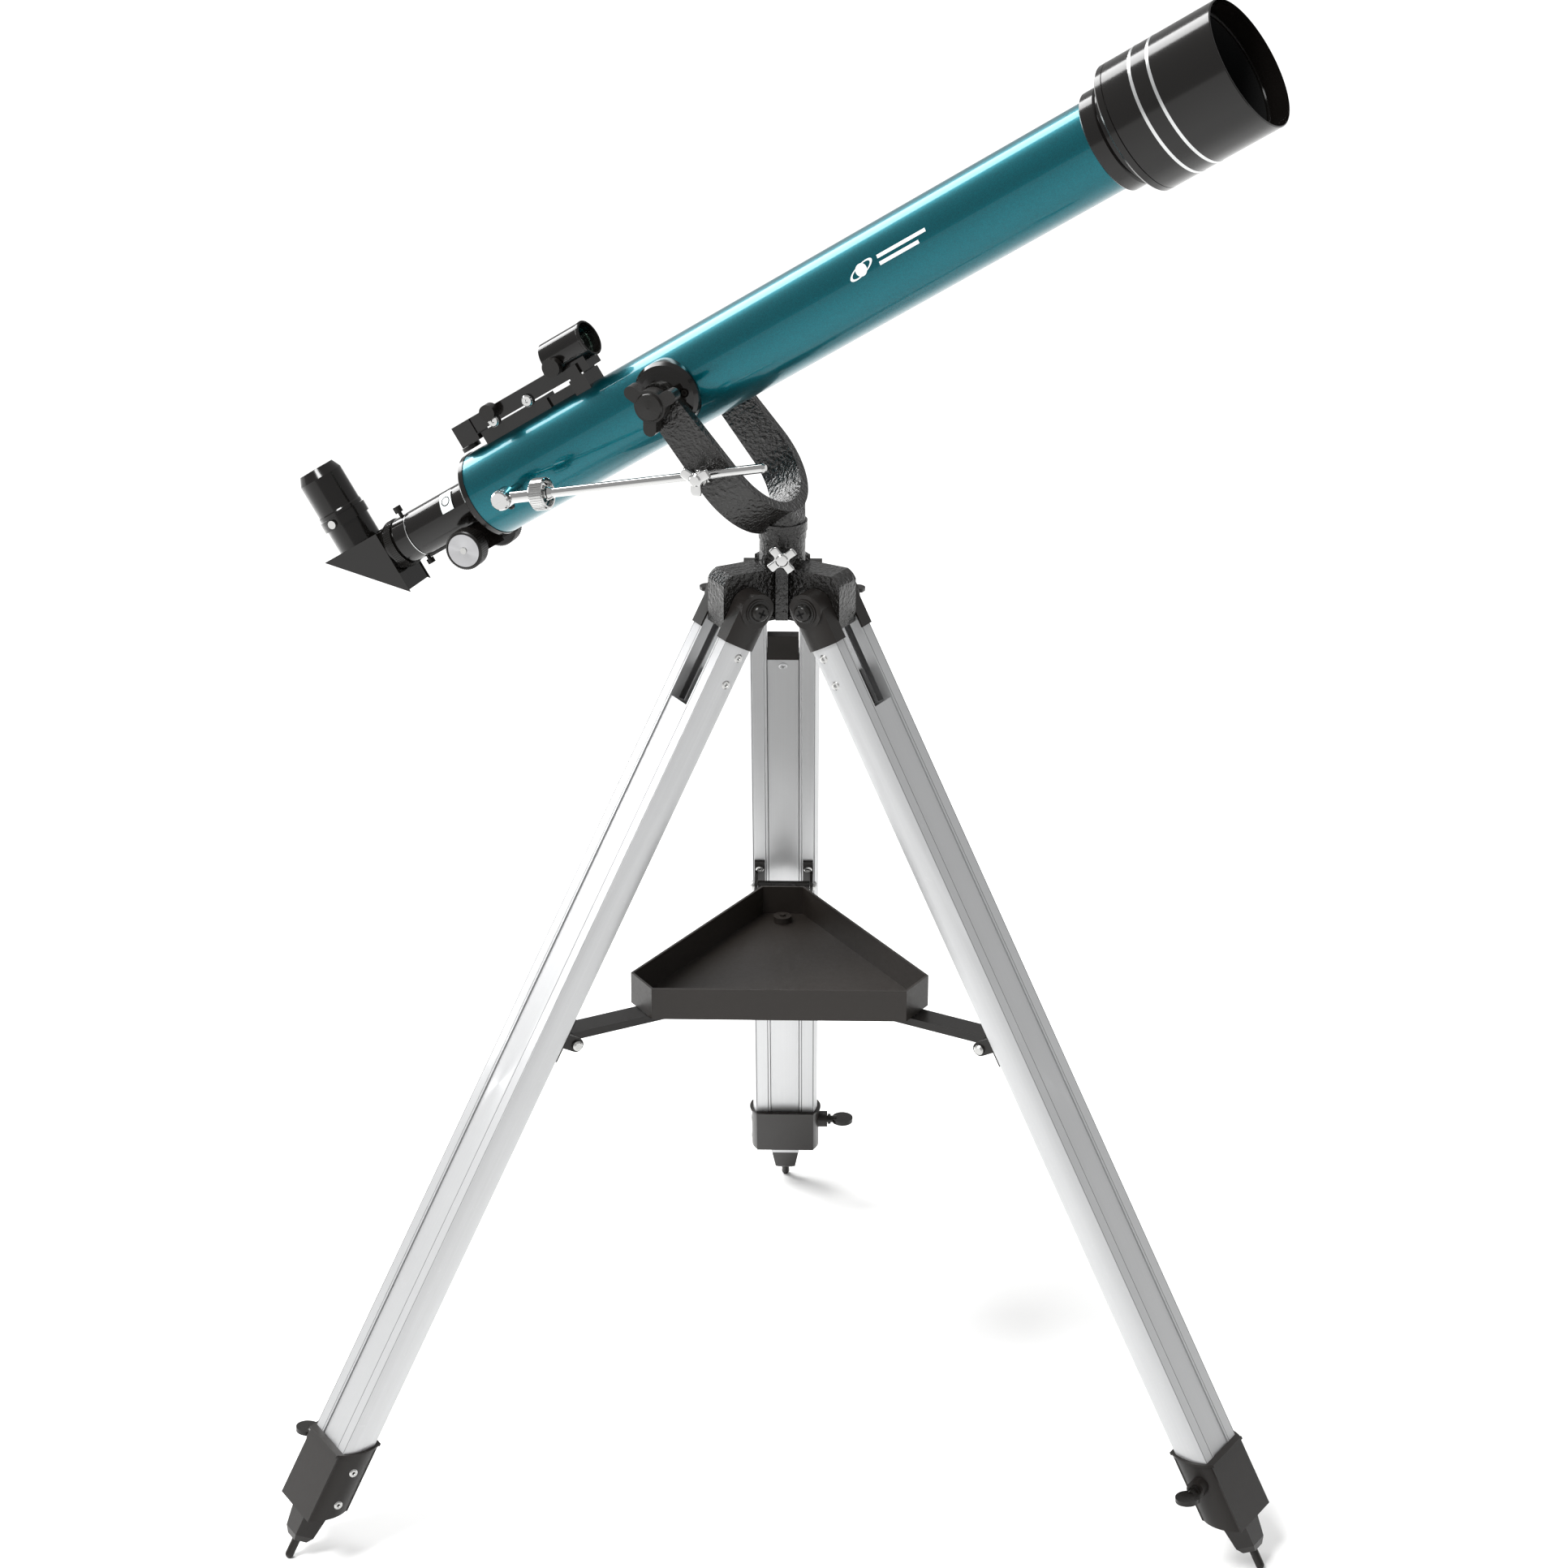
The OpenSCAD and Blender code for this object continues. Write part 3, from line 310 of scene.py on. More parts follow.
@dataclass(frozen=True)
class Finish:
    """A paint, plastic or metal finish with its own grain.

    Attributes:
        name: Name of the material.
        color: Base colour, linear.
        metallic: Metallic value.
        roughness: Mean roughness.
        spread: How far the roughness drifts.
        drift: Strength of the broad colour drift.
        scuff: Strength of the pale scuffs.
        coat: Weight of the clear coat.
        coat_roughness: Roughness of the clear coat.
        grain_scale: Scale of the grain, per metre.
        grain_depth: Height of the grain, in metres.
        hammered: Whether the grain is hammertone paint.
        flakes: How strongly the lacquer's flakes brighten the colour.
        anisotropic: Strength of the stretched highlights.
        specular: Strength of the reflection of a bare surface, 0.5 for a common plastic.
    """

    name: str
    color: tuple[float, float, float]
    metallic: float = 0.0
    roughness: float = 0.4
    spread: float = 0.1
    drift: float = 0.35
    scuff: float = 0.15
    coat: float = 0.0
    coat_roughness: float = 0.08
    grain_scale: float = 2400.0
    grain_depth: float = 0.00002
    hammered: bool = False
    flakes: float = 0.0
    anisotropic: float = 0.0
    specular: float = 0.5

    def build(self, effects: Effects, place: Matrix | None = None) -> bpy.types.Material:
        """Makes the material.

        Args:
            effects: The shared shader groups.
            place: Frame that the pattern is measured in, or None for the row frame.

        Returns:
            The material.
        """
        material, tree, shader = new_material(self.name)
        vector = placed_vector(tree, place)
        settings = {"Metallic": self.metallic, "Coat Weight": self.coat,
                    "Coat Roughness": self.coat_roughness, "Anisotropic": self.anisotropic,
                    "Specular IOR Level": self.specular}
        for key, value in settings.items():
            shader.inputs[key].default_value = value
        if self.anisotropic:
            feed(turned_tangent(tree, place), "Tangent", shader)
        vary = group_of(tree, effects.variation, vector,
                        {"Color": (*self.color, 1), "Drift": self.drift, "Scuff": self.scuff,
                         "Roughness": self.roughness, "Spread": self.spread})
        feed(vary.outputs["Roughness"], "Roughness", shader)
        kind = effects.hammertone if self.hammered else effects.grain
        grain = group_of(tree, kind, vector, {"Scale": self.grain_scale})
        color = vary.outputs["Color"]
        if self.flakes:
            bright = node_of(tree, "ShaderNodeHueSaturation", {"Value": 1 + self.flakes})
            feed(color, "Color", bright)
            color = mixed(tree, grain.outputs["Flake"], color, bright.outputs["Color"])
        feed(color, "Base Color", shader)
        relief(tree, grain.outputs["Height"], self.grain_depth, shader)
        return material


@dataclass(frozen=True)
class DrawnMetal:
    """Satin anodised aluminium, drawn along one leg, with the grooves of the extrusion pressed in as
    bumps and darkened with painted shade.

    Attributes:
        name: Name of the material.
        color: Base colour, linear.
        groove_shade_color: Dark colour painted in the grooves as shade, standing in for the shade that
            falls in them.
        grooves: Distances of the two grooves from the leg's middle plane.
        roughness: Mean roughness.
        metallic: Metallic value, below 1 for the milky oxide layer.
    """

    name: str
    color: tuple[float, float, float]
    groove_shade_color: tuple[float, float, float]
    grooves: tuple[float, float]
    roughness: float = 0.38
    metallic: float = 0.72

    def build(self, effects: Effects, place: Matrix) -> bpy.types.Material:
        """Makes the material for one leg.

        Args:
            effects: The shared shader groups.
            place: The leg's frame, with Z along the leg.

        Returns:
            The material.
        """
        material, tree, shader = new_material(self.name)
        vector = placed_vector(tree, place)
        shader.inputs["Metallic"].default_value = self.metallic
        shader.inputs["Anisotropic"].default_value = 0.4
        drawn = group_of(tree, effects.drawn, vector)
        vary = group_of(tree, effects.variation, vector,
                        {"Color": (*self.color, 1), "Drift": 0.16, "Scuff": 0.10,
                         "Roughness": self.roughness, "Spread": 0.12})
        groove = group_of(tree, effects.grooves, vector,
                          {"Inner": self.grooves[0], "Outer": self.grooves[1]})
        lines = math_of(tree, "MULTIPLY", drawn.outputs["Lines"], 0.22)
        brushed = mixed(tree, lines, vary.outputs["Color"], (0.42, 0.42, 0.43, 1))
        # Painted shade: the grooves are darkened towards groove_shade_color, standing in for the shade
        # that falls in them.
        painted_groove_shade = (*self.groove_shade_color, 1)
        feed(mixed(tree, groove.outputs["Mask"], brushed, painted_groove_shade), "Base Color", shader)
        rough = math_of(tree, "MULTIPLY_ADD", drawn.outputs["Lines"], 0.16)
        feed(vary.outputs["Roughness"], 2, rough.node)
        feed(rough, "Roughness", shader)
        height = math_of(tree, "SUBTRACT", math_of(tree, "MULTIPLY", drawn.outputs["Lines"], 0.03),
                         groove.outputs["Mask"])
        relief(tree, height, 0.0004, shader)
        return material


@dataclass(frozen=True)
class Glass:
    """Coated optical glass.

    Attributes:
        name: Name of the material.
        color: Tint of the glass.
        coat_tint: Colour of the coating's reflection.
    """

    name: str
    color: tuple[float, float, float]
    coat_tint: tuple[float, float, float]

    def build(self, effects: Effects) -> bpy.types.Material:
        """Makes the material, with a faint dusting in its roughness."""
        material, tree, shader = new_material(self.name)
        vector = placed_vector(tree, None)
        shader.inputs["Transmission Weight"].default_value = 1.0
        shader.inputs["IOR"].default_value = 1.5
        shader.inputs["Coat Weight"].default_value = 0.6
        shader.inputs["Coat Tint"].default_value = (*self.coat_tint, 1)
        vary = group_of(tree, effects.variation, vector,
                        {"Color": (*self.color, 1), "Drift": 0.15, "Scuff": 0.0, "Roughness": 0.03,
                         "Spread": 0.05})
        feed(vary.outputs["Color"], "Base Color", shader)
        feed(vary.outputs["Roughness"], "Roughness", shader)
        return material


def new_object(name: str, data: bpy.types.ID) -> bpy.types.Object:
    """Makes an object and puts it in the scene."""
    thing = bpy.data.objects.new(name, data)
    bpy.context.scene.collection.objects.link(thing)
    return thing


def new_material(name: str) -> tuple:
    """Makes a node material.

    Args:
        name: Name of the material.

    Returns:
        The material, its node tree and its Principled shader.
    """
    material = bpy.data.materials.new(name)
    material.use_nodes = True
    tree = material.node_tree
    return material, tree, tree.nodes["Principled BSDF"]


def placed_vector(tree: bpy.types.NodeTree, place: Matrix | None):
    """Object coordinates, measured in a frame of the object's own.

    Args:
        tree: The material's node tree.
        place: The frame, or None for the row frame.

    Returns:
        The vector socket.
    """
    source = node_of(tree, "ShaderNodeTexCoord").outputs["Object"]
    if place is None:
        return source
    mapping = node_of(tree, "ShaderNodeMapping", vector_type="TEXTURE")
    mapping.inputs["Location"].default_value = place.to_translation()
    mapping.inputs["Rotation"].default_value = place.to_euler("XYZ")
    feed(source, "Vector", mapping)
    return mapping.outputs["Vector"]


def turned_tangent(tree: bpy.types.NodeTree, place: Matrix):
    """The direction of the tool marks on a face that was turned about the Z axis of a frame.

    Args:
        tree: The material's node tree.
        place: The frame, with its origin on the axis.

    Returns:
        The vector socket.
    """
    source = node_of(tree, "ShaderNodeTexCoord").outputs["Object"]
    away = node_of(tree, "ShaderNodeVectorMath", {1: place.to_translation()}, operation="SUBTRACT")
    around = node_of(tree, "ShaderNodeVectorMath", {0: place.col[2].to_3d()}, operation="CROSS_PRODUCT")
    world = node_of(tree, "ShaderNodeVectorTransform", vector_type="VECTOR", convert_from="OBJECT",
                    convert_to="WORLD")
    feed(source, 0, away)
    feed(away.outputs[0], 1, around)
    feed(around.outputs[0], 0, world)
    return world.outputs[0]


FINISHES = (
    Finish("hammertone_casting", (0.0085, 0.0078, 0.0070), roughness=0.20, spread=0.10, drift=0.3,
           scuff=0.03, grain_scale=360.0, grain_depth=0.0008, hammered=True, specular=0.6),
    Finish("chromed_steel", (0.58, 0.58, 0.575), metallic=1.0, roughness=0.06, spread=0.08, drift=0.30,
           scuff=0.0, grain_scale=300.0, grain_depth=0.00001),
    Finish("tray_plastic", (0.019, 0.0155, 0.013), roughness=0.40, spread=0.25, drift=0.45, scuff=0.12,
           grain_scale=1700.0, grain_depth=0.00005, specular=0.36),
    Finish("leg_plastic", (0.0125, 0.0105, 0.0092), roughness=0.36, spread=0.18, scuff=0.07,
           grain_scale=2100.0, grain_depth=0.00004, specular=0.32),
    Finish("knob_plastic", (0.0085, 0.0075, 0.0066), roughness=0.28, spread=0.14, scuff=0.05,
           specular=0.34),
    Finish("black_steel", (0.0095, 0.0083, 0.0074), roughness=0.32, spread=0.16, scuff=0.07,
           specular=0.34),
    Finish("plain_steel", (0.52, 0.52, 0.51), metallic=1.0, roughness=0.27, spread=0.16, drift=0.25,
           scuff=0.05),
    Finish("gloss_black", (0.0050, 0.0043, 0.0038), roughness=0.14, spread=0.06, drift=0.3,
           scuff=0.02, grain_scale=900.0, grain_depth=0.000004, specular=0.42),
    Finish("mirror_glass", (0.85, 0.88, 0.90), metallic=1.0, roughness=0.03, spread=0.04, scuff=0.0),
)
LACQUER = Finish("teal_metallic", (0.0, 0.086, 0.108), metallic=0.90, roughness=0.33, spread=0.05,
                 drift=0.22, scuff=0.0, coat=0.52, coat_roughness=0.02, grain_scale=2600.0,
                 grain_depth=0.000004, flakes=0.55, specular=0.3)
# The dark colour (0.09, 0.09, 0.095) is painted shade for the grooves of the extrusion.
ANODISED = DrawnMetal("satin_anodised", (0.58, 0.585, 0.59), (0.09, 0.09, 0.095), (0.0142, 0.0240))
LENS_GLASS = Glass("coated_glass", (0.93, 0.97, 0.99), (0.55, 0.72, 0.62))
FLAT_BLACK = Finish("flat_black", (0.004, 0.004, 0.004), roughness=0.85, spread=0.1, scuff=0.05,
                    specular=0.2)
SILVER_LINE = Finish("silver_line", (0.70, 0.71, 0.71), metallic=1.0, roughness=0.28, scuff=0.0)
WHITE_MARK = Finish("white_mark", (0.80, 0.85, 0.85), roughness=0.4, drift=0.05, scuff=0.05)
SPUN_SILVER = Finish("spun_silver", (0.46, 0.46, 0.47), metallic=1.0, roughness=0.30, spread=0.12,
                     drift=0.1, scuff=0.05, anisotropic=0.85)


# ---------------------------------------------------------------------------------- meshes


def lathe(points: list[tuple[float, float]], steps: int = 72, closed: bool = True) -> bmesh.types.BMesh:
    """Turns a profile about Z.

    Args:
        points: (radius, height) of the profile's points, in order.
        steps: Number of steps in the full turn.
        closed: Whether the last point joins the first.

    Returns:
        The turned mesh.
    """
    bm = bmesh.new()
    verts = [bm.verts.new((radius, 0, height)) for radius, height in points]
    ends = list(zip(verts, verts[1:]))
    if closed:
        ends.append((verts[-1], verts[0]))
    edges = [bm.edges.new(pair) for pair in ends]
    bmesh.ops.spin(bm, geom=verts + edges, axis=(0, 0, 1), cent=(0, 0, 0), steps=steps,
                   angle=FULL_TURN, use_merge=True)
    return tidied(bm)


def in_mm(*points: tuple[float, float], radius: float = 0.0,
          start: float = 0.0) -> list[tuple[float, float]]:
    """Turns a profile given in millimetres from a radius and a height into metres."""
    return [(radius + across * MM, start + along * MM) for across, along in points]


def band(inner: float, outer: float, start: float, stop: float, steps: int) -> bmesh.types.BMesh:
    """Turns a rectangle about Z."""
    return lathe([(inner, start), (outer, start), (outer, stop), (inner, stop)], steps)


def tidied(bm: bmesh.types.BMesh) -> bmesh.types.BMesh:
    """Merges the doubles of a mesh and turns its faces outwards."""
    bmesh.ops.remove_doubles(bm, verts=bm.verts, dist=1e-6)
    bmesh.ops.dissolve_degenerate(bm, edges=bm.edges, dist=1e-7)
    bmesh.ops.recalc_face_normals(bm, faces=bm.faces)
    return bm


def ribbed(bm: bmesh.types.BMesh, radius: float, low: float, high: float,
           depth: float) -> bmesh.types.BMesh:
    """Raises a rib on every other face of a turned band.

    Args:
        bm: The turned mesh, about Z.
        radius: Radius of the band.
        low: Lower end of the band.
        high: Upper end of the band.
        depth: Height of the ribs.

    Returns:
        The same mesh.
    """
    band = []
    for face in bm.faces:
        centre = face.calc_center_median()
        reach = Vector((centre.x, centre.y)).length
        if low < centre.z < high and abs(reach - radius) < 0.02 * radius and abs(face.normal.z) < 0.2:
            band.append((math.atan2(centre.y, centre.x), face))
    band.sort(key=lambda item: item[0])
    ridges = [face for _, face in band[::2]]
    bmesh.ops.inset_individual(bm, faces=ridges, thickness=depth * 0.35, depth=depth,
                               use_even_offset=True)
    return bm


def lobed_knob(reach: float, waist: float, lobes: int, height: float, soften: float,
               blunt: float = 1.45) -> bmesh.types.BMesh:
    """A thumb knob whose outline swings between a waist and blunt lobes.

    Args:
        reach: Radius at the tips of the lobes.
        waist: Radius between the lobes.
        lobes: Number of lobes.
        height: Thickness of the knob.
        soften: Width of the rounded edges.
        blunt: How wide the ends of the lobes are, 1 for points.

    Returns:
        The knob, about Z, standing on Z = 0.
    """
    bm = bmesh.new()
    bmesh.ops.create_circle(bm, cap_ends=True, radius=reach, segments=lobes * 24)
    for vert in bm.verts:
        swing = 0.5 + 0.5 * math.cos(lobes * math.atan2(vert.co.y, vert.co.x))
        swing = min(1.0, blunt * swing * swing)
        vert.co *= (waist + (reach - waist) * swing) / reach
    grown = bmesh.ops.extrude_face_region(bm, geom=list(bm.faces))
    top = [item for item in grown["geom"] if isinstance(item, bmesh.types.BMVert)]
    bmesh.ops.translate(bm, verts=top, vec=(0, 0, height))
    bmesh.ops.recalc_face_normals(bm, faces=bm.faces)
    rims = [edge for edge in bm.edges if len(edge.link_faces) == 2 and edge.calc_face_angle(0) > 1.2]
    bmesh.ops.bevel(bm, geom=rims, offset=soften, segments=3, profile=0.5, affect="EDGES", material=-1)
    return tidied(bm)


def flat_ring(radius: float, thickness: float, segments: int) -> bmesh.types.BMesh:
    """A flat ring in the XY plane.

    Args:
        radius: Its outer radius.
        thickness: Its width.
        segments: Number of steps around it.

    Returns:
        The ring.
    """
    bm = bmesh.new()
    bmesh.ops.create_circle(bm, cap_ends=True, radius=radius, segments=segments)
    grown = bmesh.ops.inset_region(bm, faces=list(bm.faces), thickness=thickness, use_boundary=True)
    core = [face for face in bm.faces if face not in grown["faces"]]
    bmesh.ops.delete(bm, geom=core, context="FACES")
    return bm


def flat_grid(size: tuple[float, float], steps: tuple[int, int]) -> bmesh.types.BMesh:
    """A flat grid in the XY plane, centred on the origin."""
    bm = bmesh.new()
    bmesh.ops.create_grid(bm, x_segments=steps[0], y_segments=steps[1], size=0.5)
    bmesh.ops.scale(bm, vec=(*size, 1), verts=bm.verts)
    return bm


def slab(size: tuple[float, float, float], soften: float, segments: int = 3) -> bmesh.types.BMesh:
    """A block with rounded edges, centred on the origin.

    Args:
        size: Its three sizes.
        soften: Radius of the edges.
        segments: Number of steps in each rounded edge.

    Returns:
        The block.
    """
    bm = bmesh.new()
    bmesh.ops.create_cube(bm, size=1.0)
    bmesh.ops.scale(bm, vec=size, verts=bm.verts)
    bmesh.ops.bevel(bm, geom=list(bm.edges), offset=soften, segments=segments, profile=0.5,
                    affect="EDGES", material=-1)
    return tidied(bm)


def joined(parts: list[bmesh.types.BMesh]) -> bmesh.types.BMesh:
    """Puts several meshes into one and frees them."""
    whole = bmesh.new()
    for part in parts:
        mesh = bpy.data.meshes.new("part")
        part.to_mesh(mesh)
        part.free()
        whole.from_mesh(mesh)
        bpy.data.meshes.remove(mesh)
    return whole


def moved(bm: bmesh.types.BMesh, place: Matrix) -> bmesh.types.BMesh:
    """Moves a mesh to its place and returns it."""
    bmesh.ops.transform(bm, matrix=place, verts=bm.verts)
    return bm


def wrap(flat: bmesh.types.BMesh, radius: float, middle: float, lean: float) -> bmesh.types.BMesh:
    """Wraps a flat mesh on the right side of a cylinder along X and gives it some thickness.

    Args:
        flat: The mesh, in the XY plane, with X along the cylinder.
        radius: Radius of the cylinder.
        middle: Where along the cylinder the mesh's origin goes.
        lean: Angle from the top of the cylinder to the mesh's origin.

    Returns:
        The same mesh.
    """
    for vert in flat.verts:
        angle = lean - vert.co.y / radius
        vert.co = Vector((middle + vert.co.x, -radius * math.sin(angle), radius * math.cos(angle)))
    bmesh.ops.solidify(flat, geom=list(flat.faces), thickness=0.05 * MM)
    return tidied(flat)


class Workshop:
    """The frame, the finishes and the common steps of making a piece."""

    def __init__(self, frame: dict) -> None:
        """Keeps the frame and builds every finish.
        """
        self.nodes = frame["nodes"]
        self.record = frame["record"]
        self.joints = {joint["name"]: joint for joint in frame["joints"]}
        self.effects = Effects()
        self.materials = {finish.name: finish.build(self.effects) for finish in FINISHES}
        self.materials["coated_glass"] = LENS_GLASS.build(self.effects)
        self.tube = self._tube_frame()
        self.materials["teal_metallic"] = LACQUER.build(self.effects, self.tube)
        for extra in (FLAT_BLACK, SILVER_LINE, WHITE_MARK):
            self.materials[extra.name] = extra.build(self.effects)

    def _tube_frame(self) -> Matrix:
        """The tube's frame at rest: X along the tube, Y to its left and Z up from it."""
        along = Vector(self.joints["dew_shield_slide"]["axis"]).normalized()
        left = -Vector(self.joints["altitude_tilt"]["axis"]).normalized()
        return frame_of(along, left, along.cross(left), Vector(self.joints["altitude_tilt"]["pos_m"]))

    def leg_frame(self, leg: Leg) -> Matrix:
        """A leg's frame at rest: X outwards, Y along its hinge and Z up the leg."""
        down = Vector(self.joints[f"leg_extend_{leg.value}"]["axis"]).normalized()
        hinge = self.joints[f"leg_fold_{leg.value}"]
        across = Vector(hinge["axis"]).normalized()
        return frame_of(across.cross(-down), across, -down, Vector(hinge["pos_m"]))

    def rod_frame(self) -> Matrix:
        """The rod's frame at rest: X along the rod from its hinge and Y to the left of the tube."""
        along = Vector(self.joints["clamp_slide"]["axis"]).normalized()
        left = -Vector(self.joints["rod_swing"]["axis"]).normalized()
        return frame_of(along, left, along.cross(left), Vector(self.joints["rod_swing"]["pos_m"]))

    def span(self, node: str, place: Matrix) -> tuple[Vector, Vector]:
        """Lowest and highest corner of a CAD node in a frame.

        Args:
            node: Name of the node.
            place: The frame that the corners are measured in.

        Returns:
            The two corners.
        """
        inverse = place.inverted()
        points = [inverse @ vert.co for vert in self.nodes[node].data.vertices]
        low = Vector(min(point[i] for point in points) for i in range(3))
        high = Vector(max(point[i] for point in points) for i in range(3))
        return low, high

    def dress(self, node: str, material: bpy.types.Material) -> None:
        """Gives a CAD node its finish."""
        mesh = self.nodes[node].data
        mesh.materials.clear()
        mesh.materials.append(material)

    def dress_by_slot(self) -> None:
        """Gives each CAD node the finish of its material slot."""
        for part in self.record["subparts"]:
            material = self.materials.get(part["material_slot"])
            if material is not None:
                self.dress(part["node"], material)

    def piece(self, name: str, bm: bmesh.types.BMesh, place: Matrix, finish: str, slot: str, body: str,
              stands_for: tuple[str, ...] = ()) -> bpy.types.Object:
        """Makes an object from a mesh and puts it on its body.

        Args:
            name: Name of the piece.
            bm: Its mesh, which is freed.
            place: Where the mesh goes in the row frame.
            finish: Name of its material.
            slot: The record's material slot; not used.
            body: The CAD body that carries it.
            stands_for: CAD nodes that it replaces.

        Returns:
            The object.
        """
        moved(bm, place)
        if place.determinant() < 0:
            bmesh.ops.recalc_face_normals(bm, faces=bm.faces)
        mesh = bpy.data.meshes.new(name)
        bm.to_mesh(mesh)
        bm.free()
        mesh.polygons.foreach_set("use_smooth", [True] * len(mesh.polygons))
        mesh.set_sharp_from_angle(angle=SHARP_ANGLE)
        mesh.materials.append(self.materials[finish])
        thing = new_object(name, mesh)
        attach(thing, body)
        if stands_for:
            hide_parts(*stands_for)
        LOG.info("%s rides on %s", name, body)
        return thing


def frame_of(x: Vector, y: Vector, z: Vector, origin: Vector) -> Matrix:
    """A 4x4 matrix from three axes and an origin."""
    turn = Matrix((x, y, z)).transposed().to_4x4()
    return Matrix.Translation(origin) @ turn


def at(x: float, y: float, z: float, axis: Axis = Axis.Z) -> Matrix:
    """A place in a part's frame, with the mesh's Z turned to an axis."""
    return Matrix.Translation((x, y, z)) @ AXIS_TURN[axis]


# ------------------------------------------------------------------------------ assemblies


@dataclass
class OpticalTube:
    """The main tube, its cell, the dew shield and their trim."""

    shop: Workshop
    stripe_w: float = 2.3 * MM
    stripe_rise: float = 0.12 * MM
    stripe_places: tuple[float, ...] = (0.298, 0.452)
    liner_gap: float = 0.25 * MM
    wall: float = 2.4 * MM
    mark_at: float = 0.655
    mark_lean: float = math.radians(74)
    mark_r: float = 7.5 * MM
    mark_rise: float = 0.08 * MM
    ring_squash: float = 0.34
    ring_lean: float = math.radians(18)
    mark_bars: tuple[tuple[float, float], ...] = ((2.6 * MM, 42 * MM), (-2.6 * MM, 34 * MM))
    mark_bar_w: float = 2.6 * MM

    def build(self) -> None:
        """Makes the stripes, the inner liner and the mark."""
        place = self.shop.tube
        low, high = self.shop.span("dew_shield", place)
        radius = (high.z - low.z) / 2
        bands = []
        for part in self.stripe_places:
            start = low.x + part * (high.x - low.x)
            bands.append(band(radius - self.stripe_rise, radius + self.stripe_rise, start,
                              start + self.stripe_w, 128))
        self.shop.piece("dew_shield_stripes", moved(joined(bands), AXIS_TURN[Axis.X]), place,
                        "silver_line", "gloss_black", "dew_shield")
        self._liner(low.x, high.x, radius)
        self._mark()

    def _liner(self, rear: float, front: float, radius: float) -> None:
        """A flat black flocking inside the dew shield.

        Args:
            rear: Where the dew shield starts.
            front: Where it ends.
            radius: Its outer radius.
        """
        inner = radius - self.wall - self.liner_gap
        start, stop = rear + 26 * MM, front - 17 * MM
        ring = band(inner - self.liner_gap, inner, start, stop, 96)
        self.shop.piece("dew_shield_liner", moved(ring, AXIS_TURN[Axis.X]), self.shop.tube,
                        "flat_black", "gloss_black", "dew_shield")

    def _mark(self) -> None:
        """A plain mark on the side of the tube: a ringed planet with two bars beside it."""
        low, high = self.shop.span("main_tube", self.shop.tube)
        radius = (high.z - low.z) / 2 + self.mark_rise
        disc = bmesh.new()
        bmesh.ops.create_circle(disc, cap_ends=True, radius=self.mark_r * 0.62, segments=48)
        ring = flat_ring(self.mark_r * 1.5, self.mark_r * 0.3, 64)
        bmesh.ops.scale(ring, vec=(1, self.ring_squash, 1), verts=ring.verts)
        moved(ring, Matrix.Rotation(self.ring_lean, 4, "Z"))
        bars = []
        for height, length in self.mark_bars:
            bar = flat_grid((length, self.mark_bar_w), (12, 2))
            bars.append(moved(bar, Matrix.Translation((self.mark_r * 2 + length / 2, height, 0))))
        flat = joined([disc, ring, *bars])
        bmesh.ops.triangulate(flat, faces=flat.faces)
        bmesh.ops.subdivide_edges(flat, edges=flat.edges, cuts=2, use_grid_fill=True)
        middle = low.x + self.mark_at * (high.x - low.x)
        wrap(flat, radius, middle, self.mark_lean)
        self.shop.piece("tube_mark", flat, self.shop.tube, "white_mark", "teal_metallic", "tube")


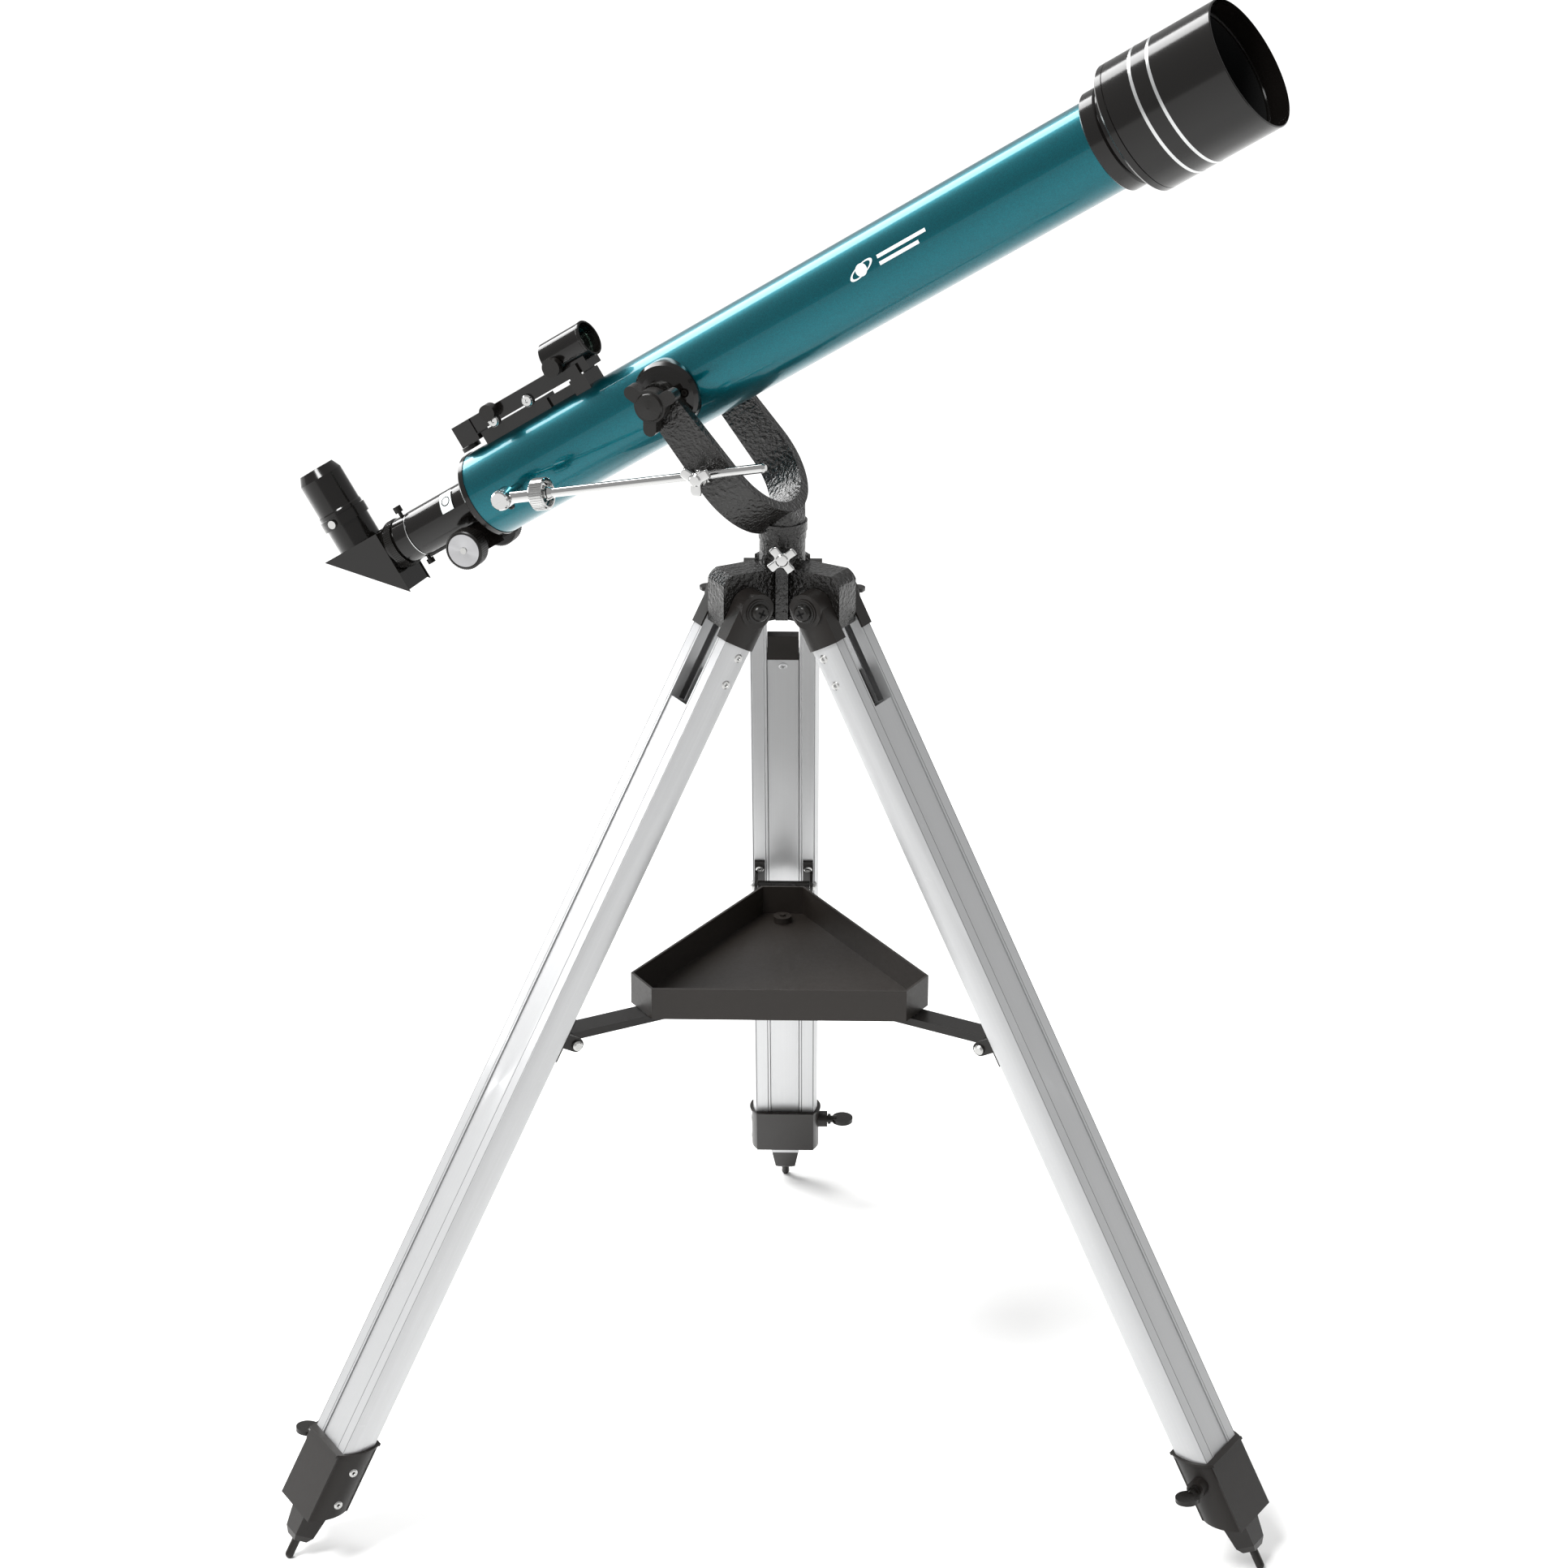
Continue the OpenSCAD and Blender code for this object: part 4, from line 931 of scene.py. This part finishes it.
@dataclass
class Focuser:
    """The focuser's neck, drawtube, knobs and eyepiece end."""

    shop: Workshop
    knob_ribs: int = 56
    rib_depth: float = 0.35 * MM
    grip_ribs: int = 72
    grip_r: float = 18.7 * MM
    neck_r: float = 19.0 * MM
    label_at: float = 42 * MM
    label_lean: float = math.radians(52)
    label_size: tuple[float, float] = (11 * MM, 17 * MM)

    def build(self) -> None:
        """Makes the ribbed knobs, their faces, the grip ring and the hairline rings."""
        self._knobs()
        self._grip()
        self._screws()
        self._label()

    def _knobs(self) -> None:
        """Two ribbed knobs with spun metal faces on the pinion's shaft."""
        place = self.shop.tube
        low, high = self.shop.span("focus_knobs", place)
        centre = (low + high) / 2
        reach, outer = (high.x - low.x) / 2 / MM, high.y / MM
        inner, hub = outer - 13, outer - 20
        knobs, faces = [], []
        for side in (1, -1):
            bm = lathe(in_mm((2.6, hub), (6, hub), (6, inner), (reach - 1.4, inner),
                             (reach - 0.5, inner + 0.8), (reach - 0.5, outer - 1.2),
                             (reach - 1.2, outer - 0.4), (reach - 1.8, outer - 0.2),
                             (reach - 2.2, outer - 0.9), (2.6, outer - 0.9)), self.knob_ribs * 2)
            ribbed(bm, (reach - 0.5) * MM, (inner + 1) * MM, (outer - 1.3) * MM, self.rib_depth)
            face = lathe(in_mm((0, -0.95), (reach - 2.4, -0.95), (reach - 2.7, -0.55), (0.9, -0.55),
                               (0, -0.75), start=high.y), 96, closed=False)
            turn = at(centre.x, 0, centre.z) @ Matrix.Scale(side, 4, (0, 1, 0)) @ AXIS_TURN[Axis.Y]
            knobs.append(moved(bm, turn))
            faces.append(moved(face, turn))
        axle = place @ Matrix.Translation(centre) @ AXIS_TURN[Axis.Y]
        self.shop.materials["spun_silver"] = SPUN_SILVER.build(self.shop.effects, axle)
        self.shop.piece("focus_knob_rims", tidied(joined(knobs)), place, "knob_plastic", "gloss_black",
                        "focus", ("focus_knobs",))
        self.shop.piece("focus_knob_faces", tidied(joined(faces)), place, "spun_silver", "plain_steel",
                        "focus")

    def _grip(self) -> None:
        """The ribbed ring at the end of the drawtube and the bright line beside it."""
        place = self.shop.tube
        rear = self.shop.span("drawtube", place)[0].x
        radius = self.grip_r
        ring = lathe(in_mm((-1, 0.4), (-0.3, 0.4), (0, 0.8), (0, 6.4), (-0.4, 6.8), (-1, 6.8),
                           radius=radius, start=rear), self.grip_ribs * 2)
        ribbed(ring, radius, rear + 1 * MM, rear + 6 * MM, self.rib_depth)
        self.shop.piece("drawtube_grip", moved(ring, AXIS_TURN[Axis.X]), place, "knob_plastic",
                        "gloss_black", "drawtube")
        line = band(17.4 * MM, 18.05 * MM, rear + 21.1 * MM, rear + 21.6 * MM, 96)
        self.shop.piece("drawtube_line", moved(line, AXIS_TURN[Axis.X]), place, "silver_line",
                        "gloss_black", "drawtube")

    def _screws(self) -> None:
        """The three small screws that hold the focuser in the tube."""
        place = self.shop.tube
        low, high = self.shop.span("main_tube", place)
        radius = (high.z - low.z) / 2
        screws = []
        for turn in (0, 120, 240):
            head = lathe(in_mm((0, -1), (3, -1), (3, 0.6), (2.2, 1.5), (1.1, 1.7), (0.9, 0.9), (0, 0.8)),
                         40, closed=False)
            spin = Matrix.Rotation(math.radians(-124 + turn), 4, "X")
            screws.append(moved(head, Matrix.Translation((low.x + 25.5 * MM, 0, 0)) @ spin
                                @ Matrix.Translation((0, 0, radius))))
        self.shop.piece("tube_screws", joined(screws), place, "knob_plastic", "knob_plastic", "tube")

    def _label(self) -> None:
        """A plain pale label with a ring on it, on the neck in front of the drawtube."""
        middle = self.shop.span("focuser_body", self.shop.tube)[0].x + self.label_at
        paper = flat_grid(self.label_size, (8, 16))
        wrap(paper, self.neck_r + 0.1 * MM, middle, self.label_lean)
        self.shop.piece("focuser_label", paper, self.shop.tube, "white_mark", "gloss_black", "tube")
        ring = flat_ring(self.label_size[0] * 0.36, 0.8 * MM, 40)
        wrap(ring, self.neck_r + 0.18 * MM, middle, self.label_lean)
        self.shop.piece("focuser_label_ring", ring, self.shop.tube, "flat_black", "gloss_black", "tube")


@dataclass
class SlowMotion:
    """The rod's wheel, the clamp's screw and the lock knob under the yoke."""

    shop: Workshop
    wheel_ribs: int = 40
    rib_depth: float = 0.45 * MM

    def build(self) -> None:
        """Makes the ribbed wheel and the two lobed knobs."""
        self._wheel()
        self._clamp_screw()
        self._lock_knob()

    def _wheel(self) -> None:
        """A ribbed wheel with a dished face and a raised hub."""
        place = self.shop.rod_frame()
        low, high = self.shop.span("rod_wheel", place)
        radius = (high.z - low.z) / 2 - self.rib_depth
        reach, rear, front = radius / MM, low.x / MM, high.x / MM
        wheel = lathe(in_mm((2.65, rear), (reach - 3.2, rear), (reach - 2.6, rear + 0.7),
                            (reach - 1.6, rear), (reach - 0.5, rear), (reach, rear + 0.7),
                            (reach, front - 0.7), (reach - 0.5, front), (reach - 1.8, front),
                            (reach - 2.6, front - 3), (6.2, front - 3.4), (5.2, front - 0.6),
                            (4.4, front), (2.65, front)), self.wheel_ribs * 2)
        ribbed(wheel, radius, (rear + 1) * MM, (front - 1) * MM, self.rib_depth)
        self.shop.piece("rod_wheel_ribbed", moved(wheel, AXIS_TURN[Axis.X]), place, "chromed_steel",
                        "chromed_steel", "rod_wheel", ("rod_wheel",))

    def _clamp_screw(self) -> None:
        """A three-lobed thumb screw in the clamp."""
        place = self.shop.rod_frame()
        low = self.shop.span("clamp_screw", place)[0]
        clamp_low, clamp_high = self.shop.span("rod_clamp", place)
        middle = (clamp_low.x + clamp_high.x) / 2
        knob = moved(lobed_knob(12.0 * MM, 5.2 * MM, 3, 3.8 * MM, 1.0 * MM),
                     Matrix.Rotation(math.radians(20), 4, "Z"))
        neck = lathe(in_mm((0, -4.5), (2, -4.5), (2, -2.2), (4.4, -2), (5, 0.4), (5, 3.6), (3.6, 4.9),
                           (0, 5.2)), 48, closed=False)
        turn = at(middle, low.y + 4.9 * MM, 0) @ TURN_RIGHT
        self.shop.piece("clamp_thumb_screw", moved(joined([knob, neck]), turn), place, "chromed_steel",
                        "chromed_steel", "clamp_screw", ("clamp_screw",))

    def _lock_knob(self) -> None:
        """A four-lobed chrome knob on the column."""
        low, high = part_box("azimuth_lock_knob")
        centre_z = (low[2] + high[2]) / 2
        knob = moved(lobed_knob(11.5 * MM, 5.6 * MM, 4, 4.6 * MM, 1.0 * MM, 2.0),
                     Matrix.Rotation(math.radians(38), 4, "Z"))
        stem = lathe(in_mm((0, -22), (3, -22), (3, -7), (5.2, -6.6), (5.2, 0.4), (5, 4.4), (3.8, 5.4),
                           (0, 5.9)), 48, closed=False)
        turn = at(0, low[1] + 6.0 * MM, centre_z) @ TURN_RIGHT
        self.shop.piece("azimuth_lock_star", moved(joined([knob, stem]), turn), Matrix.Identity(4),
                        "chromed_steel", "chromed_steel", "azimuth_lock", ("azimuth_lock_knob",))


@dataclass
class Finder:
    """The finder's glass and small trim.

    Attributes:
        shop: The workshop.
        sight_r: Outer radius of the sight tube, in millimetres.
        screw_r: Radius of the chrome screws, in millimetres.
        screw_places: (along, height) of each chrome screw, in millimetres.
    """

    shop: Workshop
    sight_r: float = 13.4
    screw_r: float = 4.4
    screw_places: tuple[tuple[float, float], ...] = ((35.0, 1.6), (68.4, 2.0))

    def build(self) -> None:
        """Makes the window in the sight tube and the knurled faces of its screws."""
        place = self.shop.tube
        low, high = self.shop.span("finder_body", place)
        middle = high.z - self.sight_r * MM
        glass = lathe(in_mm((0, -9), (12, -9), (12, -7), (0, -6.4), start=high.x), 64, closed=False)
        self.shop.piece("finder_window", moved(glass, at(0, 0, middle, Axis.X)), place, "coated_glass",
                        "coated_glass", "finder")
        rim = lathe(in_mm((13.3, -2.4), (13.4, -2.4), (13.7, -2), (13.7, -0.4), (13.3, 0),
                          (12.3, 0), (12.3, -0.5), (13.2, -0.8), start=high.x), 72)
        self.shop.piece("finder_rim", moved(rim, at(0, 0, middle, Axis.X)), place, "gloss_black",
                        "gloss_black", "finder")
        screws = []
        radius = self.screw_r
        for along, height in self.screw_places:
            screw = lathe(in_mm((0, -3), (radius, -3), (radius, 1.6), (radius - 0.8, 2.6), (1.4, 2.6),
                                (0.9, 1.6), (0, 1.6)), 44, closed=False)
            ribbed(screw, radius * MM, -2.5 * MM, 1.4 * MM, 0.2 * MM)
            seat = at(low.x + along * MM, -8.4 * MM, low.z + (5 + height) * MM)
            screws.append(moved(screw, seat @ TURN_RIGHT))
        self.shop.piece("finder_chrome_screws", joined(screws), place, "chromed_steel", "chromed_steel",
                        "finder")


@dataclass
class Pivot:
    """The screws in the pivot discs."""

    shop: Workshop
    screw_reach: float = 17 * MM
    screw_lean: float = math.radians(15)

    def build(self) -> None:
        """Makes four socket screws, two in each disc."""
        place = self.shop.tube
        high = self.shop.span("pivot_discs", place)[1]
        heads = []
        for side in (1, -1):
            for end in (1, -1):
                head = lathe(in_mm((0, -1), (2.7, -1), (2.7, 1.2), (2.2, 1.7), (1.3, 1.7), (1.2, 0.6),
                                   (0, 0.6)), 36, closed=False)
                x = end * self.screw_reach * math.cos(self.screw_lean)
                z = -end * self.screw_reach * math.sin(self.screw_lean)
                turn = Matrix.Scale(side, 4, (0, 1, 0)) @ at(x, high.y - 3.3 * MM, z, Axis.Y)
                heads.append(moved(head, turn))
        self.shop.piece("pivot_screws", tidied(joined(heads)), place, "knob_plastic", "knob_plastic",
                        "tube")


@dataclass
class Legs:
    """The three legs' metal, drawn along each leg, and the screws at their hinges."""

    shop: Workshop
    metal: DrawnMetal = ANODISED
    head_r: float = 6.4 * MM
    head_rise: float = 5.2 * MM
    slot_w: float = 1.5 * MM
    slot_reach: float = 6.4 * MM

    def build(self) -> None:
        """Dresses the rails and the inner leg of each leg and adds its hinge screw's head."""
        for leg in Leg:
            place = self.shop.leg_frame(leg)
            metal = self.metal.build(self.shop.effects, place)
            for part in ("leg_rails", "inner_leg"):
                self.shop.dress(f"{part}_{leg.value}", metal)
            self._hinge_screw(leg, place)

    def _hinge_screw(self, leg: Leg, place: Matrix) -> None:
        """A black pan head over the plain head of the hinge bolt, with painted shade for its cross
        recess: two flat black bars laid on the head.

        Args:
            leg: The leg.
            place: The leg's frame.
        """
        seat = self.shop.span(f"leg_caps_{leg.value}", place)[1].y
        side = -1 if self.shop.span(f"wing_nut_{leg.value}", place)[0].y > 0 else 1
        head = lathe([(0, seat), (self.head_r, seat), (self.head_r, seat + self.head_rise * 0.5),
                      (self.head_r * 0.92, seat + self.head_rise * 0.78),
                      (self.head_r * 0.78, seat + self.head_rise * 0.95),
                      (self.head_r * 0.4, seat + self.head_rise), (0, seat + self.head_rise)],
                     48, closed=False)
        washer = lathe([(self.head_r, seat + 0.02 * MM), (self.head_r * 1.28, seat + 0.02 * MM),
                        (self.head_r * 1.28, seat + 0.7 * MM), (self.head_r, seat + 0.9 * MM)], 56)
        flip = Matrix.Scale(side, 4, (0, 1, 0)) @ AXIS_TURN[Axis.Y]
        self.shop.piece(f"hinge_screw_{leg.value}", moved(joined([head, washer]), flip), place,
                        "knob_plastic", "plain_steel", f"leg_{leg.value}")
        # Painted shade: the cross recess is not cut; two flat black bars stand on the head where its
        # shade would be.
        bars = [slab((self.slot_reach, self.slot_w, 0.5 * MM), 0.12 * MM, 2),
                slab((self.slot_w, self.slot_reach, 0.5 * MM), 0.12 * MM, 2)]
        turn = flip @ Matrix.Translation((0, 0, seat + self.head_rise - 0.1 * MM))
        self.shop.piece(f"hinge_screw_cross_shade_{leg.value}", moved(joined(bars), turn), place,
                        "flat_black", "plain_steel", f"leg_{leg.value}")


@dataclass
class Studio:
    """The floor, the lights and the camera.

    Attributes:
        camera_at: Place of the camera.
        turn: Heading of the camera, anticlockwise from +Y.
        pitch: How far the camera looks down.
        roll: Turn of the camera about its own axis.
        lens: Focal length in millimetres on a 36 mm sensor.
    """

    camera_at: tuple[float, float, float] = (0.03705, -2.90015, 1.7270)
    turn: float = math.radians(0.692)
    pitch: float = math.radians(22.233)
    roll: float = math.radians(0.279)
    lens: float = 96.9
    floor_size: float = 40.0
    world_light: float = 0.50
    sun_power: float = 2.9
    sun_size: float = math.radians(20)
    sun_from: tuple[float, float, float] = (-1.6, -1.3, 3.2)

    def build(self, effects: Effects) -> None:
        """Makes the whole studio."""
        self._floor(effects)
        self._world()
        self._sun()
        self._lamp("rear_softbox", (-1.0, 0.98, 1.59), (0.05, -0.05, 0.95), (0.78, -0.30, 0.55),
                   (2.4, 0.7), 50)
        self._camera()

    def _floor(self, effects: Effects) -> None:
        """A pale floor."""
        bm = bmesh.new()
        bmesh.ops.create_grid(bm, x_segments=1, y_segments=1, size=self.floor_size / 2)
        mesh = bpy.data.meshes.new("floor")
        bm.to_mesh(mesh)
        bm.free()
        paper = Finish("pale_paper", (0.93, 0.93, 0.925), roughness=0.9, drift=0.02, scuff=0.0)
        mesh.materials.append(paper.build(effects))
        new_object("floor", mesh)

    def _world(self) -> None:
        """An even pale sky."""
        world = bpy.data.worlds.new("studio")
        world.use_nodes = True
        sky = world.node_tree.nodes["Background"]
        sky.inputs["Color"].default_value = (1.0, 1.0, 1.0, 1.0)
        sky.inputs["Strength"].default_value = self.world_light
        bpy.context.scene.world = world

    def _sun(self) -> None:
        """A broad even light from above."""
        light = bpy.data.lights.new("overhead", "SUN")
        light.energy = self.sun_power
        light.angle = self.sun_size
        turn = Vector(self.sun_from).to_track_quat("Z", "Y").to_euler()
        new_object("overhead", light).rotation_euler = turn

    @staticmethod
    def _lamp(name: str, place: tuple, aim: tuple, along: tuple, size: tuple, power: float) -> None:
        """An area light.

        Args:
            name: Name of the light.
            place: Where it stands.
            aim: The point that it faces.
            along: Direction that its first size runs in.
            size: Its two sizes.
            power: Its power in watts.
        """
        light = bpy.data.lights.new(name, "AREA")
        light.shape = "RECTANGLE"
        light.size, light.size_y = size
        light.energy = power
        away = (Vector(place) - Vector(aim)).normalized()
        across = away.cross(Vector(along)).normalized()
        turned = frame_of(across.cross(away), across, away, Vector(place))
        new_object(name, light).matrix_world = turned

    def _camera(self) -> None:
        """The camera at the main view."""
        data = bpy.data.cameras.new("camera")
        data.lens = self.lens
        data.sensor_width = 36.0
        camera = new_object("camera", data)
        look = Matrix.Rotation(self.turn, 4, "Z") @ Matrix.Rotation(math.pi / 2 - self.pitch, 4, "X")
        camera.matrix_world = (Matrix.Translation(self.camera_at) @ look
                               @ Matrix.Rotation(self.roll, 4, "Z"))
        bpy.context.scene.camera = camera
        bpy.context.scene.view_settings.view_transform = "Standard"


def main() -> None:
    """Builds the assemblies in order."""
    logging.basicConfig(level=logging.INFO, format="%(name)s: %(message)s")
    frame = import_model()
    shop = Workshop(frame)
    shop.dress_by_slot()
    for assembly in (OpticalTube, Focuser, SlowMotion, Finder, Pivot, Legs):
        assembly(shop).build()
        LOG.info("%s done", assembly.__name__)
    Studio().build(shop.effects)


if __name__ == "__main__":
    main()
